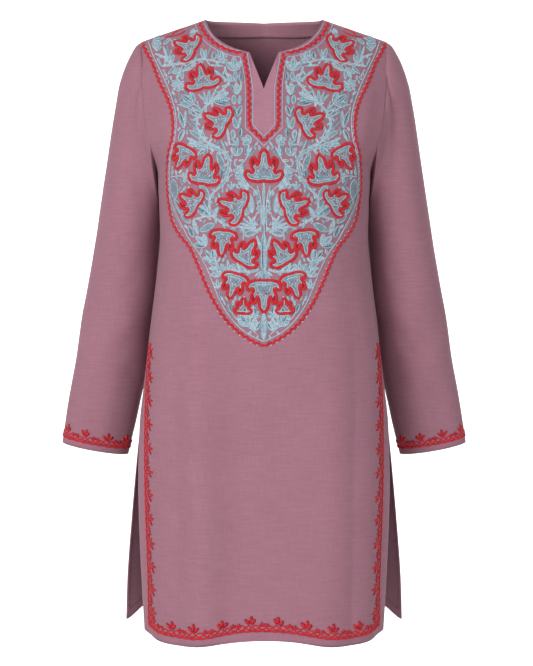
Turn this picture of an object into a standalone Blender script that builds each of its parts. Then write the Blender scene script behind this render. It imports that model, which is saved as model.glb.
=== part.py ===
"""A worn kurta tunic as an empty shell: its panels, sleeves, neck facing and raised embroidery.

The front faces -Y, the wearer's left is +X, and +Z is up. The origin is between the two neck
points of the shoulder seams, where the wearer's shoulders carry the garment. Metres throughout.
"""

import math
from collections import namedtuple

import bpy
import bmesh
import numpy as np
from mathutils import Vector
from mathutils.bvhtree import BVHTree

# Driving dimensions of the garment as it hangs
CLOTH = 0.0012
SEAM_GAP = 0.0005
HEM_Z = -0.928
HEM_CORNER_RISE = 0.003
SLIT_TOP_Z = -0.494
UNDERARM_Z = -0.240
NECK_HALF = 0.088
NECK_TOP_Z = 0.000
SHOULDER_HALF = 0.188
SHOULDER_SLOPE = 0.345
SEAM_Y = 0.005
FRONT_NECK_DROP = 0.067
BACK_NECK_RISE = 0.0045
NOTCH_HALF = 0.0215
NOTCH_BOTTOM_Z = -0.120
FACING_WIDTH = 0.024
FACING_THICKNESS = 0.0010
FACING_REACH_DEG = 76
FACING_INSET = 0.0025
FACING_STEEPNESS = 0.78
SLEEVE_CLEARANCE = 0.0010
BAND_LIFT = 0.0012
EMBROIDERY_HEIGHT = 0.0013
LEAF_DOME = 0.0007
SQUARENESS = 2.35
FULL_DEPTH_DROP = 0.20

# How the shell is divided into faces
LOWER_ROWS = 20
UPPER_ROWS = 15
FRONT_COLUMNS = 24
BACK_COLUMNS = 20
SLEEVE_SIDES = 18
CAP_ROWS = 8
TUBE_ROWS = 9
FACING_COLUMNS = 16

# How far out from the middle column the notch corner and the neck point lie, as a share of a panel
NOTCH_ACROSS = 0.100
NECK_ACROSS = 0.380

# Level sections of the body, from above the shoulders down to the hem. edge is where a panel's
# side edge lies, middle_y its centre line, and flare how far the slit's edge turns outwards.
Section = namedtuple(
    "Section", "z front_x back_x front_y back_y front_edge_y back_edge_y flare"
)
SECTIONS = (
    Section(0.080, 0.2100, 0.2100, -0.079, 0.080, 0.005, 0.005, 0.0),
    Section(0.000, 0.2080, 0.2080, -0.081, 0.086, 0.005, 0.005, 0.0),
    Section(-0.060, 0.2060, 0.2060, -0.086, 0.102, 0.005, 0.005, 0.0),
    Section(-0.120, 0.2020, 0.2020, -0.104, 0.111, 0.005, 0.005, 0.0),
    Section(-0.185, 0.1900, 0.1900, -0.126, 0.114, 0.005, 0.005, 0.0),
    Section(-0.240, 0.1630, 0.1630, -0.136, 0.112, 0.005, 0.005, 0.0),
    Section(-0.262, 0.1622, 0.1622, -0.138, 0.1105, 0.005, 0.005, 0.0),
    Section(-0.280, 0.1605, 0.1605, -0.139, 0.109, 0.005, 0.005, 0.0),
    Section(-0.330, 0.1595, 0.1595, -0.138, 0.104, 0.005, 0.005, 0.0),
    Section(-0.385, 0.1640, 0.1640, -0.135, 0.107, 0.005, 0.005, 0.0),
    Section(-0.494, 0.1755, 0.1755, -0.134, 0.117, 0.005, 0.005, 0.0),
    Section(-0.560, 0.1825, 0.1840, -0.135, 0.121, -0.012, 0.008, 0.002),
    Section(-0.620, 0.1870, 0.1910, -0.136, 0.124, -0.028, 0.018, 0.005),
    Section(-0.690, 0.1880, 0.1990, -0.138, 0.127, -0.040, 0.034, 0.008),
    Section(-0.770, 0.1860, 0.2070, -0.140, 0.129, -0.046, 0.048, 0.010),
    Section(-0.870, 0.1815, 0.2150, -0.142, 0.130, -0.044, 0.060, 0.006),
    Section(-0.928, 0.1785, 0.2170, -0.142, 0.130, -0.040, 0.065, 0.003),
)

# Soft upright folds: where each runs (as a share of the way from the middle to the side edge),
# how far it moves the cloth, its half-width as such a share, and how it leans over its length.
Fold = namedtuple("Fold", "panel across top_z bottom_z depth half_width lean")
FOLDS = (
    Fold("front", -0.62, -0.36, -0.93, 0.0050, 0.20, -0.06),
    Fold("front", 0.64, -0.33, -0.93, 0.0055, 0.20, 0.04),
    Fold("front", -0.34, -0.50, -0.93, -0.0035, 0.22, 0.00),
    Fold("front", 0.33, -0.46, -0.93, -0.0035, 0.22, 0.03),
    Fold("front", 0.86, -0.26, -0.60, -0.0030, 0.16, 0.00),
    Fold("front", -0.86, -0.27, -0.58, -0.0030, 0.16, 0.00),
    Fold("back", -0.66, -0.30, -0.93, 0.0060, 0.20, -0.05),
    Fold("back", 0.64, -0.32, -0.93, 0.0060, 0.20, 0.05),
    Fold("back", 0.30, -0.26, -0.93, -0.0060, 0.24, 0.06),
    Fold("back", -0.28, -0.28, -0.93, -0.0055, 0.24, -0.04),
    Fold("back", 0.00, -0.30, -0.93, 0.0045, 0.22, 0.02),
)

# The sleeve's sections: centre, half-width across and half-depth, for the sleeve at +X. They are
# square to the sleeve, which hangs a little out and back. The first lies inside the shoulder and
# only steers the cap, the part of the sleeve between the armhole and the upper arm.
Ring = namedtuple("Ring", "x y z half_width half_depth")
SLEEVE_RINGS = (
    Ring(0.1669, 0.000, -0.060, 0.0480, 0.0520),
    Ring(0.2085, 0.041, -0.315, 0.0500, 0.0560),
    Ring(0.2222, 0.048, -0.420, 0.0535, 0.0500),
    Ring(0.2401, 0.055, -0.525, 0.0545, 0.0420),
    Ring(0.2532, 0.060, -0.600, 0.0552, 0.0350),
    Ring(0.2652, 0.064, -0.660, 0.0527, 0.0290),
)
SLEEVE_TUBE_TOP_Z = -0.315
CUFF_Z = -0.660
CAP_LENGTH = 0.075
SLEEVE_OUT_DEG = 10.3
SLEEVE_BACK_DEG = 6.5

# How strongly a sleeve leaves the armhole and joins its tube, as shares of the way between them
CAP_OUT = 0.75
CAP_ROUND = 0.30
CAP_DOWN = 0.55
CAP_JOIN = 0.75
CAP_JOIN_OVER = 0.55

# Creases at the elbow, as waves round the sleeve
Crease = namedtuple("Crease", "z height depth turned_rad")
ELBOW_CREASES = (
    Crease(-0.460, 0.035, 0.0020, 0.6),
    Crease(-0.530, 0.030, 0.0018, 2.2),
)

# Edge of the embroidered yoke on the front, from the shoulder to its lowest point, for x > 0.
YOKE_EDGE = (
    (0.1800, -0.0460),
    (0.1665, -0.0840),
    (0.1460, -0.1320),
    (0.1342, -0.1780),
    (0.1400, -0.2080),
    (0.1432, -0.2400),
    (0.1400, -0.2900),
    (0.1243, -0.3360),
    (0.0922, -0.3890),
    (0.0634, -0.4490),
    (0.0220, -0.4900),
    (0.0000, -0.5000),
)
YOKE_CORD_WIDTH = 0.0042
NECK_CORD_WIDTH = 0.0080
NECK_CORD_INSET = 0.0075
PLACKET_HALF = 0.0215
PLACKET_SQUARE_Z = -0.170
PLACKET_POINT_Z = -0.192

# Maple-like leaves worked on the yoke, for x >= 0: the middle, which way the long lobe points
# (degrees above +X), how long that lobe is, and how far the leaf's underside clears the cloth.
# A leaf off the centre line is made on both sides.
Leaf = namedtuple("Leaf", "x z points reach lift")
LEAVES = (
    Leaf(0.0000, -0.2468, 90, 0.0320, 0.0008),
    Leaf(0.0000, -0.4190, 270, 0.0325, 0.0008),
    Leaf(0.1130, -0.0530, 26, 0.0255, 0.0008),
    Leaf(0.0903, -0.1073, 79, 0.0272, 0.0008),
    Leaf(0.0645, -0.1735, 26, 0.0268, 0.0008),
    Leaf(0.1165, -0.2190, 300, 0.0255, 0.0013),
    Leaf(0.0855, -0.2500, 101, 0.0305, 0.0008),
    Leaf(0.1045, -0.2900, 34, 0.0240, 0.0010),
    Leaf(0.0414, -0.2986, 21, 0.0280, 0.0008),
    Leaf(0.0590, -0.3440, 276, 0.0275, 0.0008),
    Leaf(0.0262, -0.3690, 121, 0.0280, 0.0008),
    Leaf(0.0425, -0.4060, 287, 0.0275, 0.0008),
    Leaf(0.0300, -0.4445, 94, 0.0160, 0.0008),
)

# Half outline of such a leaf: degrees from the long lobe, and reach as a share of its length.
LeafPoint = namedtuple("LeafPoint", "degrees reach")
LEAF_HALF = (
    LeafPoint(9, 0.78),
    LeafPoint(18, 0.42),
    LeafPoint(27, 0.74),
    LeafPoint(37, 0.72),
    LeafPoint(55, 0.40),
    LeafPoint(74, 0.64),
    LeafPoint(95, 0.68),
    LeafPoint(120, 0.62),
    LeafPoint(148, 0.40),
)
LEAF_BASE_REACH = 0.34

# The red flower borders along the slits and hem of the front, and round each cuff
BORDER_IN = 0.0165
BORDER_WIDTH = 0.0060
BUD_WIDTH = 0.0130
BUD_SPACING = 0.0230
CUFF_BORDER_UP = 0.0165

COLOURS = {
    "mauve_cloth": (0.370, 0.176, 0.228, 1.0),
    "mauve_facing": (0.300, 0.140, 0.180, 1.0),
    "red_thread": (0.640, 0.035, 0.050, 1.0),
    "blue_thread": (0.290, 0.440, 0.520, 1.0),
}


def clear_scene():
    for obj in list(bpy.data.objects):
        bpy.data.objects.remove(obj, do_unlink=True)


def material(name, roughness=0.85):
    """A Principled material in one of the garment's colours."""
    made = bpy.data.materials.get(name) or bpy.data.materials.new(name)
    made.use_nodes = True
    shader = made.node_tree.nodes["Principled BSDF"]
    shader.inputs["Base Color"].default_value = COLOURS[name]
    shader.inputs["Roughness"].default_value = roughness
    shader.inputs["Metallic"].default_value = 0.0
    return made


def smoothstep(t):
    t = min(1.0, max(0.0, t))
    return t * t * (3 - 2 * t)


def eased_curve(places, values):
    """A smooth function through the points of a table that never overshoots them."""
    order = np.argsort(places)
    xs = np.array(places, float)[order]
    ys = np.array(values, float)[order]
    steps = np.diff(xs)
    slopes = np.diff(ys) / steps
    tangents = np.zeros(len(xs))
    tangents[0], tangents[-1] = slopes[0], slopes[-1]
    for i in range(1, len(xs) - 1):
        if slopes[i - 1] * slopes[i] > 0:
            before, after = 2 * steps[i] + steps[i - 1], steps[i] + 2 * steps[i - 1]
            tangents[i] = (before + after) / (before / slopes[i - 1] + after / slopes[i])

    def at(x):
        x = min(xs[-1], max(xs[0], x))
        i = min(len(steps) - 1, int(np.searchsorted(xs, x, side="right")) - 1)
        t = (x - xs[i]) / steps[i]
        return float(
            ys[i] * (1 + 2 * t) * (1 - t) ** 2
            + tangents[i] * steps[i] * t * (1 - t) ** 2
            + ys[i + 1] * t * t * (3 - 2 * t)
            + tangents[i + 1] * steps[i] * t * t * (t - 1)
        )

    return at


def column_curve(rows, key, name):
    return eased_curve([getattr(r, key) for r in rows], [getattr(r, name) for r in rows])


LEVELS = {name: column_curve(SECTIONS, "z", name) for name in Section._fields[1:]}


def section(panel, z):
    """A panel's edge x, middle y, edge y and edge flare at a height."""
    edge_y = LEVELS[f"{panel}_edge_y"](z)
    if panel == "front":
        edge_y -= SEAM_GAP / 2
        flare = LEVELS["flare"](z)
    else:
        edge_y += SEAM_GAP / 2
        flare = 0.0
    return LEVELS[f"{panel}_x"](z), LEVELS[f"{panel}_y"](z), edge_y, flare


def ridge_z(x):
    """Height of the shoulder seam, carried on over the neck hole."""
    return NECK_TOP_Z - SHOULDER_SLOPE * (abs(x) - NECK_HALF)


def ridge_share(x, z):
    """How much of its full depth the body has, this far below the shoulder seam."""
    drop = min(1.0, max(0.0, (ridge_z(x) - z) / FULL_DEPTH_DROP))
    return math.sqrt(max(0.0, 1 - (1 - drop) ** 3))


def fold_depth(panel, across, z):
    """How far the folds move the cloth outwards here."""
    moved = 0.0
    for fold in FOLDS:
        if fold.panel != panel:
            continue
        length = fold.top_z - fold.bottom_z
        down = (fold.top_z - z) / length
        if down <= 0:
            continue
        offset = (across - fold.across - fold.lean * down) / fold.half_width
        if abs(offset) < 1:
            rise = smoothstep(down / 0.35)
            if fold.bottom_z > HEM_Z + 0.01:
                rise *= 1 - smoothstep((down - 0.6) / 0.4)
            moved += fold.depth * rise * 0.5 * (1 + math.cos(math.pi * offset))
    return moved


def seam_y(panel):
    return SEAM_Y - SEAM_GAP / 2 if panel == "front" else SEAM_Y + SEAM_GAP / 2


def lower_point(panel, across, z):
    """A point below the underarm. across runs from -1 at one side edge to 1 at the other."""
    edge_x, middle_y, edge_y, flare = section(panel, z)
    base_y = seam_y(panel)
    edge_share = (edge_y - base_y) / (middle_y - base_y)
    edge_angle = math.acos(min(1.0, max(0.0, edge_share)) ** (SQUARENESS / 2))
    half = edge_x / math.sin(edge_angle) ** (2 / SQUARENESS)
    angle = abs(across) * edge_angle
    x = half * math.sin(angle) ** (2 / SQUARENESS)
    y = base_y + (middle_y - base_y) * math.cos(angle) ** (2 / SQUARENESS)
    moved = fold_depth(panel, across, z)
    x += moved * math.sin(angle) + flare * smoothstep((abs(across) - 0.80) / 0.20)
    y += math.copysign(moved * math.cos(angle), middle_y)
    return Vector((math.copysign(x, across), y, z))


def upper_point(panel, x, z):
    """A point on the chest or upper back, at a place seen from the front."""
    half, middle_y, _, _ = section(panel, z)
    base_y = seam_y(panel)
    side = min(1.0, abs(x) / half)
    share = (1 - side**SQUARENESS) ** (1 / SQUARENESS) * ridge_share(x, z)
    return Vector((x, base_y + (middle_y - base_y) * share, z))


def on_front(x, z):
    """The front's outer surface at a place seen from the front."""
    if z >= UNDERARM_Z:
        return upper_point("front", x, z)
    low, high = 0.0, 1.0
    for _ in range(24):
        middle = (low + high) / 2
        if lower_point("front", middle, z).x < abs(x):
            low = middle
        else:
            high = middle
    return lower_point("front", math.copysign((low + high) / 2, x), z)


def front_normal(x, z):
    """Which way the front faces there."""
    step = 0.002
    inner = -step if x > 0 else step
    across = on_front(x + inner, z) - on_front(x, z)
    down = on_front(x, z - step) - on_front(x, z)
    normal = across.cross(down).normalized()
    return -normal if normal.y > 0 else normal


# The outer face of each cloth piece once it is made, which the embroidery is seated on
CLOTH_FACES = {}


def seated(piece, point):
    """The nearest point of a cloth piece as it is faceted."""
    return CLOTH_FACES[piece].find_nearest(point)[0]


def lifted(x, z, lift):
    return seated("front_panel", on_front(x, z)) + front_normal(x, z) * lift


def underarm_x(panel, across):
    return lower_point(panel, across, UNDERARM_Z).x


def top_edge(panel, across):
    """Where a column with across >= 0 ends, as (x, z): on the notch, the neckline or the shoulder."""
    if across >= NECK_ACROSS:
        t = (across - NECK_ACROSS) / (1 - NECK_ACROSS)
        x = NECK_HALF + (SHOULDER_HALF - NECK_HALF) * t
        return x, ridge_z(x)
    if panel == "back":
        t = across / NECK_ACROSS
        x = NECK_HALF * math.sin(t * math.pi / 2)
        return x, NECK_TOP_Z + BACK_NECK_RISE * (1 - (x / NECK_HALF) ** 2)
    corner_angle = math.asin(NOTCH_HALF / NECK_HALF)
    if across >= NOTCH_ACROSS:
        t = (across - NOTCH_ACROSS) / (NECK_ACROSS - NOTCH_ACROSS)
        angle = corner_angle + (math.pi / 2 - corner_angle) * t
        return NECK_HALF * math.sin(angle), NECK_TOP_Z - FRONT_NECK_DROP * math.cos(angle)
    t = across / NOTCH_ACROSS
    corner_z = NECK_TOP_Z - FRONT_NECK_DROP * math.cos(corner_angle)
    return NOTCH_HALF * t, NOTCH_BOTTOM_Z + (corner_z - NOTCH_BOTTOM_Z) * t


def panel_point(panel, across, row):
    """A point of the front or back.

    row runs from 0 at the hem through 1 at the underarm to 2 at the top edge.
    """
    if row <= 1:
        hem = HEM_Z + HEM_CORNER_RISE * across**2
        return lower_point(panel, across, hem + (UNDERARM_Z - hem) * row)
    top_x, top_z = top_edge(panel, abs(across))
    up = 1 - (2 - row) ** 2
    start_x = underarm_x(panel, abs(across))
    outwards = 1 - (1 - up) ** 2
    x = start_x + (top_x - start_x) * outwards
    return upper_point(panel, math.copysign(x, across), UNDERARM_Z + (top_z - UNDERARM_Z) * up)


def panel_columns(panel, count):
    """Evenly spread columns, with the nearest ones moved onto the notch corner and the neck point."""
    half = [i / (count // 2) for i in range(count // 2 + 1)]
    wanted = [NECK_ACROSS, NOTCH_ACROSS] if panel == "front" else [NECK_ACROSS]
    for place in wanted:
        nearest = min(range(1, len(half)), key=lambda i: abs(half[i] - place))
        half[nearest] = place
    return [-a for a in reversed(half[1:])] + half


def link(obj, colour, collection):
    obj.data.materials.append(material(colour))
    collection.objects.link(obj)
    return obj


def cloth_normals(rows, closed, seams):
    """Which way the surface through these rows faces. A point on a seam faces along its plane."""
    count = len(rows[0])
    normals = []
    for r, row in enumerate(rows):
        below, above = rows[max(0, r - 1)], rows[min(len(rows) - 1, r + 1)]
        found = []
        for i in range(count):
            if closed:
                before, after = row[i - 1], row[(i + 1) % count]
            else:
                before, after = row[max(0, i - 1)], row[min(count - 1, i + 1)]
            normal = (after - before).cross(above[i] - below[i])
            if (r, i) in seams:
                normal.y = 0.0
            found.append(normal.normalized())
        normals.append(found)
    return normals


def cloth_object(name, rows, closed, seams, thickness, colour, collection):
    """A cloth wall whose outer face passes through rows of points.

    seams holds the (row, column) of each point that is on a seam.
    """
    made = bmesh.new()
    normals = cloth_normals(rows, closed, seams)
    outer = [[made.verts.new(p) for p in row] for row in rows]
    inner = [
        [made.verts.new(p - n * thickness) for p, n in zip(row, facing)]
        for row, facing in zip(rows, normals)
    ]
    count = len(rows[0])
    spans = count if closed else count - 1
    for k in range(len(rows) - 1):
        for i in range(spans):
            j = (i + 1) % count
            made.faces.new((outer[k][i], outer[k][j], outer[k + 1][j], outer[k + 1][i]))
            made.faces.new((inner[k][i], inner[k + 1][i], inner[k + 1][j], inner[k][j]))
    for i in range(spans):
        j = (i + 1) % count
        made.faces.new((outer[0][j], outer[0][i], inner[0][i], inner[0][j]))
        made.faces.new((outer[-1][i], outer[-1][j], inner[-1][j], inner[-1][i]))
    if not closed:
        for k in range(len(rows) - 1):
            made.faces.new((outer[k][0], outer[k + 1][0], inner[k + 1][0], inner[k][0]))
            made.faces.new((outer[k + 1][-1], outer[k][-1], inner[k][-1], inner[k + 1][-1]))
    triangles = []
    for k in range(len(rows) - 1):
        for i in range(spans):
            j = (i + 1) % count
            low, high = k * count, (k + 1) * count
            triangles += [(low + i, low + j, high + j), (low + i, high + j, high + i)]
    CLOTH_FACES[name] = BVHTree.FromPolygons([p for row in rows for p in row], triangles)
    mesh = bpy.data.meshes.new(name)
    made.to_mesh(mesh)
    made.free()
    mesh.shade_smooth()
    return link(bpy.data.objects.new(name, mesh), colour, collection)


def make_panel(panel, count, collection):
    columns = panel_columns(panel, count)
    if panel == "back":
        columns.reverse()
    levels = [i / LOWER_ROWS for i in range(LOWER_ROWS)]
    levels += [1 + i / UPPER_ROWS for i in range(UPPER_ROWS + 1)]
    rows = [[panel_point(panel, across, row) for across in columns] for row in levels]
    seams = {(k, i) for k in range(len(rows)) for i in (0, len(columns) - 1)}
    seams |= {(len(rows) - 1, i) for i, a in enumerate(columns) if abs(a) >= NECK_ACROSS}
    return cloth_object(f"{panel}_panel", rows, False, seams, CLOTH, "mauve_cloth", collection)


def armhole_point(turn):
    """A point of the armhole seam at +X.

    turn runs from 0 at the shoulder over the front to 0.5 at the underarm, then up the back to 1.
    """
    if turn <= 0.5:
        return panel_point("front", 1.0, 2 - 2 * turn)
    return panel_point("back", 1.0, 1 + 2 * (turn - 0.5))


def sleeve_frame():
    """The sleeve's own directions: across it, forwards, and down along it."""
    out, back = math.radians(SLEEVE_OUT_DEG), math.radians(SLEEVE_BACK_DEG)
    down = Vector((math.sin(out), math.sin(back), -math.cos(out) * math.cos(back))).normalized()
    across = Vector((1, 0, 0)) - down * down.x
    across.normalize()
    forwards = across.cross(down).normalized()
    if forwards.y > 0:
        forwards = -forwards
    return across, forwards, down


SLEEVE = {name: column_curve(SLEEVE_RINGS, "z", name) for name in ("x", "y", "half_width", "half_depth")}


def sleeve_ring_point(turn, z):
    """A point of a section of the sleeve whose centre is at height z."""
    across, forwards, _ = sleeve_frame()
    angle = 2 * math.pi * turn
    centre = Vector((SLEEVE["x"](z), SLEEVE["y"](z), z))
    wide = SLEEVE["half_width"](z)
    deep = SLEEVE["half_depth"](z)
    elbow = sum(
        c.depth * math.exp(-(((z - c.z) / c.height) ** 2)) * math.cos(3 * angle + c.turned_rad)
        for c in ELBOW_CREASES
    )
    return (
        centre
        + across * (wide + elbow) * math.cos(angle)
        + forwards * (deep + elbow) * math.sin(angle)
    )


def sleeve_point(turn, row):
    """A point of the sleeve at +X.

    row runs from 0 at the armhole through 1 at the upper arm to 2 at the cuff.
    """
    across, forwards, down = sleeve_frame()
    if row >= 1:
        return sleeve_ring_point(turn, SLEEVE_TUBE_TOP_Z + (CUFF_Z - SLEEVE_TUBE_TOP_Z) * (row - 1))
    angle = 2 * math.pi * turn
    start = armhole_point(turn) + Vector((SLEEVE_CLEARANCE, 0, 0))
    end = sleeve_ring_point(turn, SLEEVE_TUBE_TOP_Z)
    length = (end - start).length
    top_share = (1 + math.cos(angle)) / 2
    t = row**2
    # Near the underarm the cloth leaves downwards and joins the tube in one easy curve.
    leaving = Vector((1, 0, -SHOULDER_SLOPE)) * top_share * length * CAP_OUT
    leaving += forwards * math.sin(angle) * length * CAP_ROUND
    leaving += down * (1 - top_share) * length * CAP_DOWN
    arriving = down * length * (CAP_JOIN + CAP_JOIN_OVER * top_share)
    low = (
        start * (1 + 2 * t) * (1 - t) ** 2
        + leaving * t * (1 - t) ** 2
        + end * t * t * (3 - 2 * t)
        + arriving * t * t * (t - 1)
    )
    # Over the shoulder it springs out from the seam and is soon on the tube carried on upwards.
    tilt = across.z * SLEEVE["half_width"](start.z) * math.cos(angle)
    tilt += forwards.z * SLEEVE["half_depth"](start.z) * math.sin(angle)
    first_z = start.z - tilt
    centre_z = first_z + (SLEEVE_TUBE_TOP_Z - first_z) * t
    fade = (1 - math.sqrt(min(1.0, (first_z - centre_z) / CAP_LENGTH))) ** 1.4
    high = sleeve_ring_point(turn, centre_z) + (start - sleeve_ring_point(turn, first_z)) * fade
    return low.lerp(high, smoothstep((top_share - 0.30) / 0.45))


def mirrored(point, side):
    return Vector((point.x * side, point.y, point.z))


def make_sleeve(name, side, collection):
    """side is 1 for the wearer's left sleeve and -1 for the right."""
    turns = [i / SLEEVE_SIDES for i in range(SLEEVE_SIDES)]
    if side < 0:
        turns.reverse()
    levels = [i / CAP_ROWS for i in range(CAP_ROWS)]
    levels += [1 + i / TUBE_ROWS for i in range(TUBE_ROWS + 1)]
    rows = [[mirrored(sleeve_point(turn, row), side) for turn in turns] for row in levels]
    return cloth_object(name, rows, True, (), CLOTH, "mauve_cloth", collection)


def make_facing(collection):
    """The band sewn inside the back of the neck."""
    rows_in = 2
    rows = []
    for k in range(rows_in + 1):
        width = FACING_WIDTH * k / rows_in
        row = []
        for i in range(FACING_COLUMNS + 1):
            angle = math.radians(FACING_REACH_DEG * (2 * i / FACING_COLUMNS - 1))
            x = (NECK_HALF + width) * math.sin(angle)
            neck_x = NECK_HALF * math.sin(angle)
            z = NECK_TOP_Z + BACK_NECK_RISE * (1 - (neck_x / NECK_HALF) ** 2)
            z -= width * (FACING_STEEPNESS * math.cos(angle) + SHOULDER_SLOPE * abs(math.sin(angle)))
            step = 0.002
            here = upper_point("back", x, z)
            beside = upper_point("back", x + step, z) - here
            below = upper_point("back", x, z - step) - here
            inwards = beside.cross(below).normalized()
            if inwards.y > 0:
                inwards = -inwards
            row.append(here + inwards * FACING_INSET)
        rows.append(row)
    return cloth_object(
        "neck_facing", rows, False, (), FACING_THICKNESS, "mauve_facing", collection
    )


def strip_object(name, sections, closed, colour, collection):
    """A raised band through sections of four points: bottom left, bottom right, top right, top left."""
    made = bmesh.new()
    rings = [[made.verts.new(p) for p in four] for four in sections]
    pairs = list(zip(rings, rings[1:]))
    if closed:
        pairs.append((rings[-1], rings[0]))
    for first, second in pairs:
        for i in range(4):
            j = (i + 1) % 4
            made.faces.new((first[i], first[j], second[j], second[i]))
    if not closed:
        made.faces.new(rings[0])
        made.faces.new(rings[-1])
    bmesh.ops.recalc_face_normals(made, faces=made.faces[:])
    mesh = bpy.data.meshes.new(name)
    made.to_mesh(mesh)
    made.free()
    return link(bpy.data.objects.new(name, mesh), colour, collection)


def band_sections(line, normals, half_widths, inner_widths=None):
    """Sections of a flat band that lies on the cloth along a line of surface points."""
    inner_widths = inner_widths or half_widths
    sections = []
    for i, (point, normal) in enumerate(zip(line, normals)):
        before, after = line[max(0, i - 1)], line[min(len(line) - 1, i + 1)]
        side = (after - before).cross(normal).normalized()
        left = seated("front_panel", point - side * inner_widths[i])
        right = seated("front_panel", point + side * half_widths[i])
        low, high = normal * BAND_LIFT, normal * (BAND_LIFT + EMBROIDERY_HEIGHT)
        sections.append((left + low, right + low, right + high, left + high))
    return sections


def smooth_line(points, spacing):
    """Points along a smooth curve through the given ones, evenly spaced."""
    points = [Vector(p) for p in points]
    padded = [2 * points[0] - points[1]] + points + [2 * points[-1] - points[-2]]
    fine = []
    steps = 12
    for a, b, c, d in zip(padded, padded[1:], padded[2:], padded[3:]):
        for i in range(steps):
            t = i / steps
            fine.append(
                0.5
                * (
                    2 * b
                    + (c - a) * t
                    + (2 * a - 5 * b + 4 * c - d) * t * t
                    + (3 * b - a - 3 * c + d) * t**3
                )
            )
    fine.append(points[-1])
    return evenly(fine, spacing)


def evenly(points, spacing):
    lengths = [0.0]
    for a, b in zip(points, points[1:]):
        lengths.append(lengths[-1] + (b - a).length)
    count = max(2, round(lengths[-1] / spacing))
    found = []
    for i in range(count + 1):
        wanted = lengths[-1] * i / count
        j = min(len(points) - 2, max(0, int(np.searchsorted(lengths, wanted)) - 1))
        share = (wanted - lengths[j]) / (lengths[j + 1] - lengths[j])
        found.append(points[j].lerp(points[j + 1], share))
    return found


def both_sides(half_line):
    """A line drawn for x > 0 from the outside to the centre line, carried on for x < 0."""
    return half_line + [Vector((-p.x, p.y)) for p in reversed(half_line[:-1])]


def front_band(name, flat_line, half_width, colour, collection):
    line = [lifted(p.x, p.y, 0.0) for p in flat_line]
    normals = [front_normal(p.x, p.y) for p in flat_line]
    widths = [half_width] * len(line)
    return strip_object(name, band_sections(line, normals, widths), False, colour, collection)


def make_yoke_cord(collection):
    line = both_sides(smooth_line(YOKE_EDGE, 0.012))
    return front_band("yoke_edge_cord", line, YOKE_CORD_WIDTH / 2, "red_thread", collection)


def make_neck_cord(collection):
    """The cord round the neckline and down round the placket to its point."""
    round_neck = []
    for degrees in (78, 66, 54, 42, 30, 22):
        angle = math.radians(degrees)
        reach = NECK_HALF + NECK_CORD_INSET
        x = reach * math.sin(angle)
        z = NECK_TOP_Z - (FRONT_NECK_DROP + NECK_CORD_INSET) * math.cos(angle)
        round_neck.append(Vector((x, min(z, ridge_z(x) - 0.004))))
    corner = Vector((NOTCH_HALF + NECK_CORD_INSET, round_neck[-1].y - 0.006))
    placket = [
        corner,
        Vector((PLACKET_HALF + 0.003, -0.115)),
        Vector((PLACKET_HALF, PLACKET_SQUARE_Z)),
        Vector((0.0, PLACKET_POINT_Z)),
    ]
    half = evenly(round_neck + placket, 0.011)
    line = both_sides(half)
    return front_band("neck_edge_cord", line, NECK_CORD_WIDTH / 2, "red_thread", collection)


def leaf_outline(leaf, side):
    """The outline of a leaf, seen from the front."""
    half = [(p.degrees, p.reach) for p in LEAF_HALF]
    whole = [(0, 1.0)] + half + [(180, LEAF_BASE_REACH)] + [(-d, r) for d, r in reversed(half)]
    outline = []
    for degrees, reach in whole:
        angle = math.radians(leaf.points + degrees)
        x = leaf.x + leaf.reach * reach * math.cos(angle)
        z = leaf.z + leaf.reach * reach * math.sin(angle)
        outline.append(Vector((x * side, z)))
    return outline


def make_leaf(name, leaf, side, collection):
    """A raised leaf, domed a little, lying on the front."""
    outline = leaf_outline(leaf, side)
    middle = Vector((leaf.x * side, leaf.z))
    rings = [[middle.lerp(p, share) for p in outline] for share in (0.55, 1.0)]
    made = bmesh.new()

    def layer(lift, dome):
        centre = made.verts.new(lifted(middle.x, middle.y, lift + dome))
        inner = [made.verts.new(lifted(p.x, p.y, lift + dome)) for p in rings[0]]
        outer = [made.verts.new(lifted(p.x, p.y, lift)) for p in rings[1]]
        return centre, inner, outer

    bottom = layer(leaf.lift, 0.0)
    top = layer(leaf.lift + EMBROIDERY_HEIGHT, LEAF_DOME)
    count = len(outline)
    for i in range(count):
        j = (i + 1) % count
        for centre, inner, outer in (bottom, top):
            made.faces.new((centre, inner[i], inner[j]))
            made.faces.new((inner[i], outer[i], outer[j], inner[j]))
        made.faces.new((bottom[2][i], bottom[2][j], top[2][j], top[2][i]))
    bmesh.ops.recalc_face_normals(made, faces=made.faces[:])
    mesh = bpy.data.meshes.new(name)
    made.to_mesh(mesh)
    made.free()
    return link(bpy.data.objects.new(name, mesh), "blue_thread", collection)


def make_leaves(collection):
    number = 0
    for leaf in LEAVES:
        for side in (1, -1) if leaf.x > 0 else (1,):
            number += 1
            make_leaf(f"yoke_leaf_{number:02d}", leaf, side, collection)


def across_from_edge(z, distance):
    """Which column of the front lies this far in from its side edge, measured along the cloth."""
    across, length = 1.0, 0.0
    step = 0.002
    point = lower_point("front", across, z)
    while length < distance:
        across -= step
        nearer = lower_point("front", across, z)
        length += (nearer - point).length
        point = nearer
    return across


def bud_widths(count, start=0):
    """Half-widths towards the cloth's middle: four sections a bud, wide at each bud."""
    pattern = (BUD_WIDTH, BORDER_WIDTH * 0.8, BORDER_WIDTH / 2, BORDER_WIDTH * 0.8)
    return [pattern[(i + start) % 4] for i in range(count)]


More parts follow.
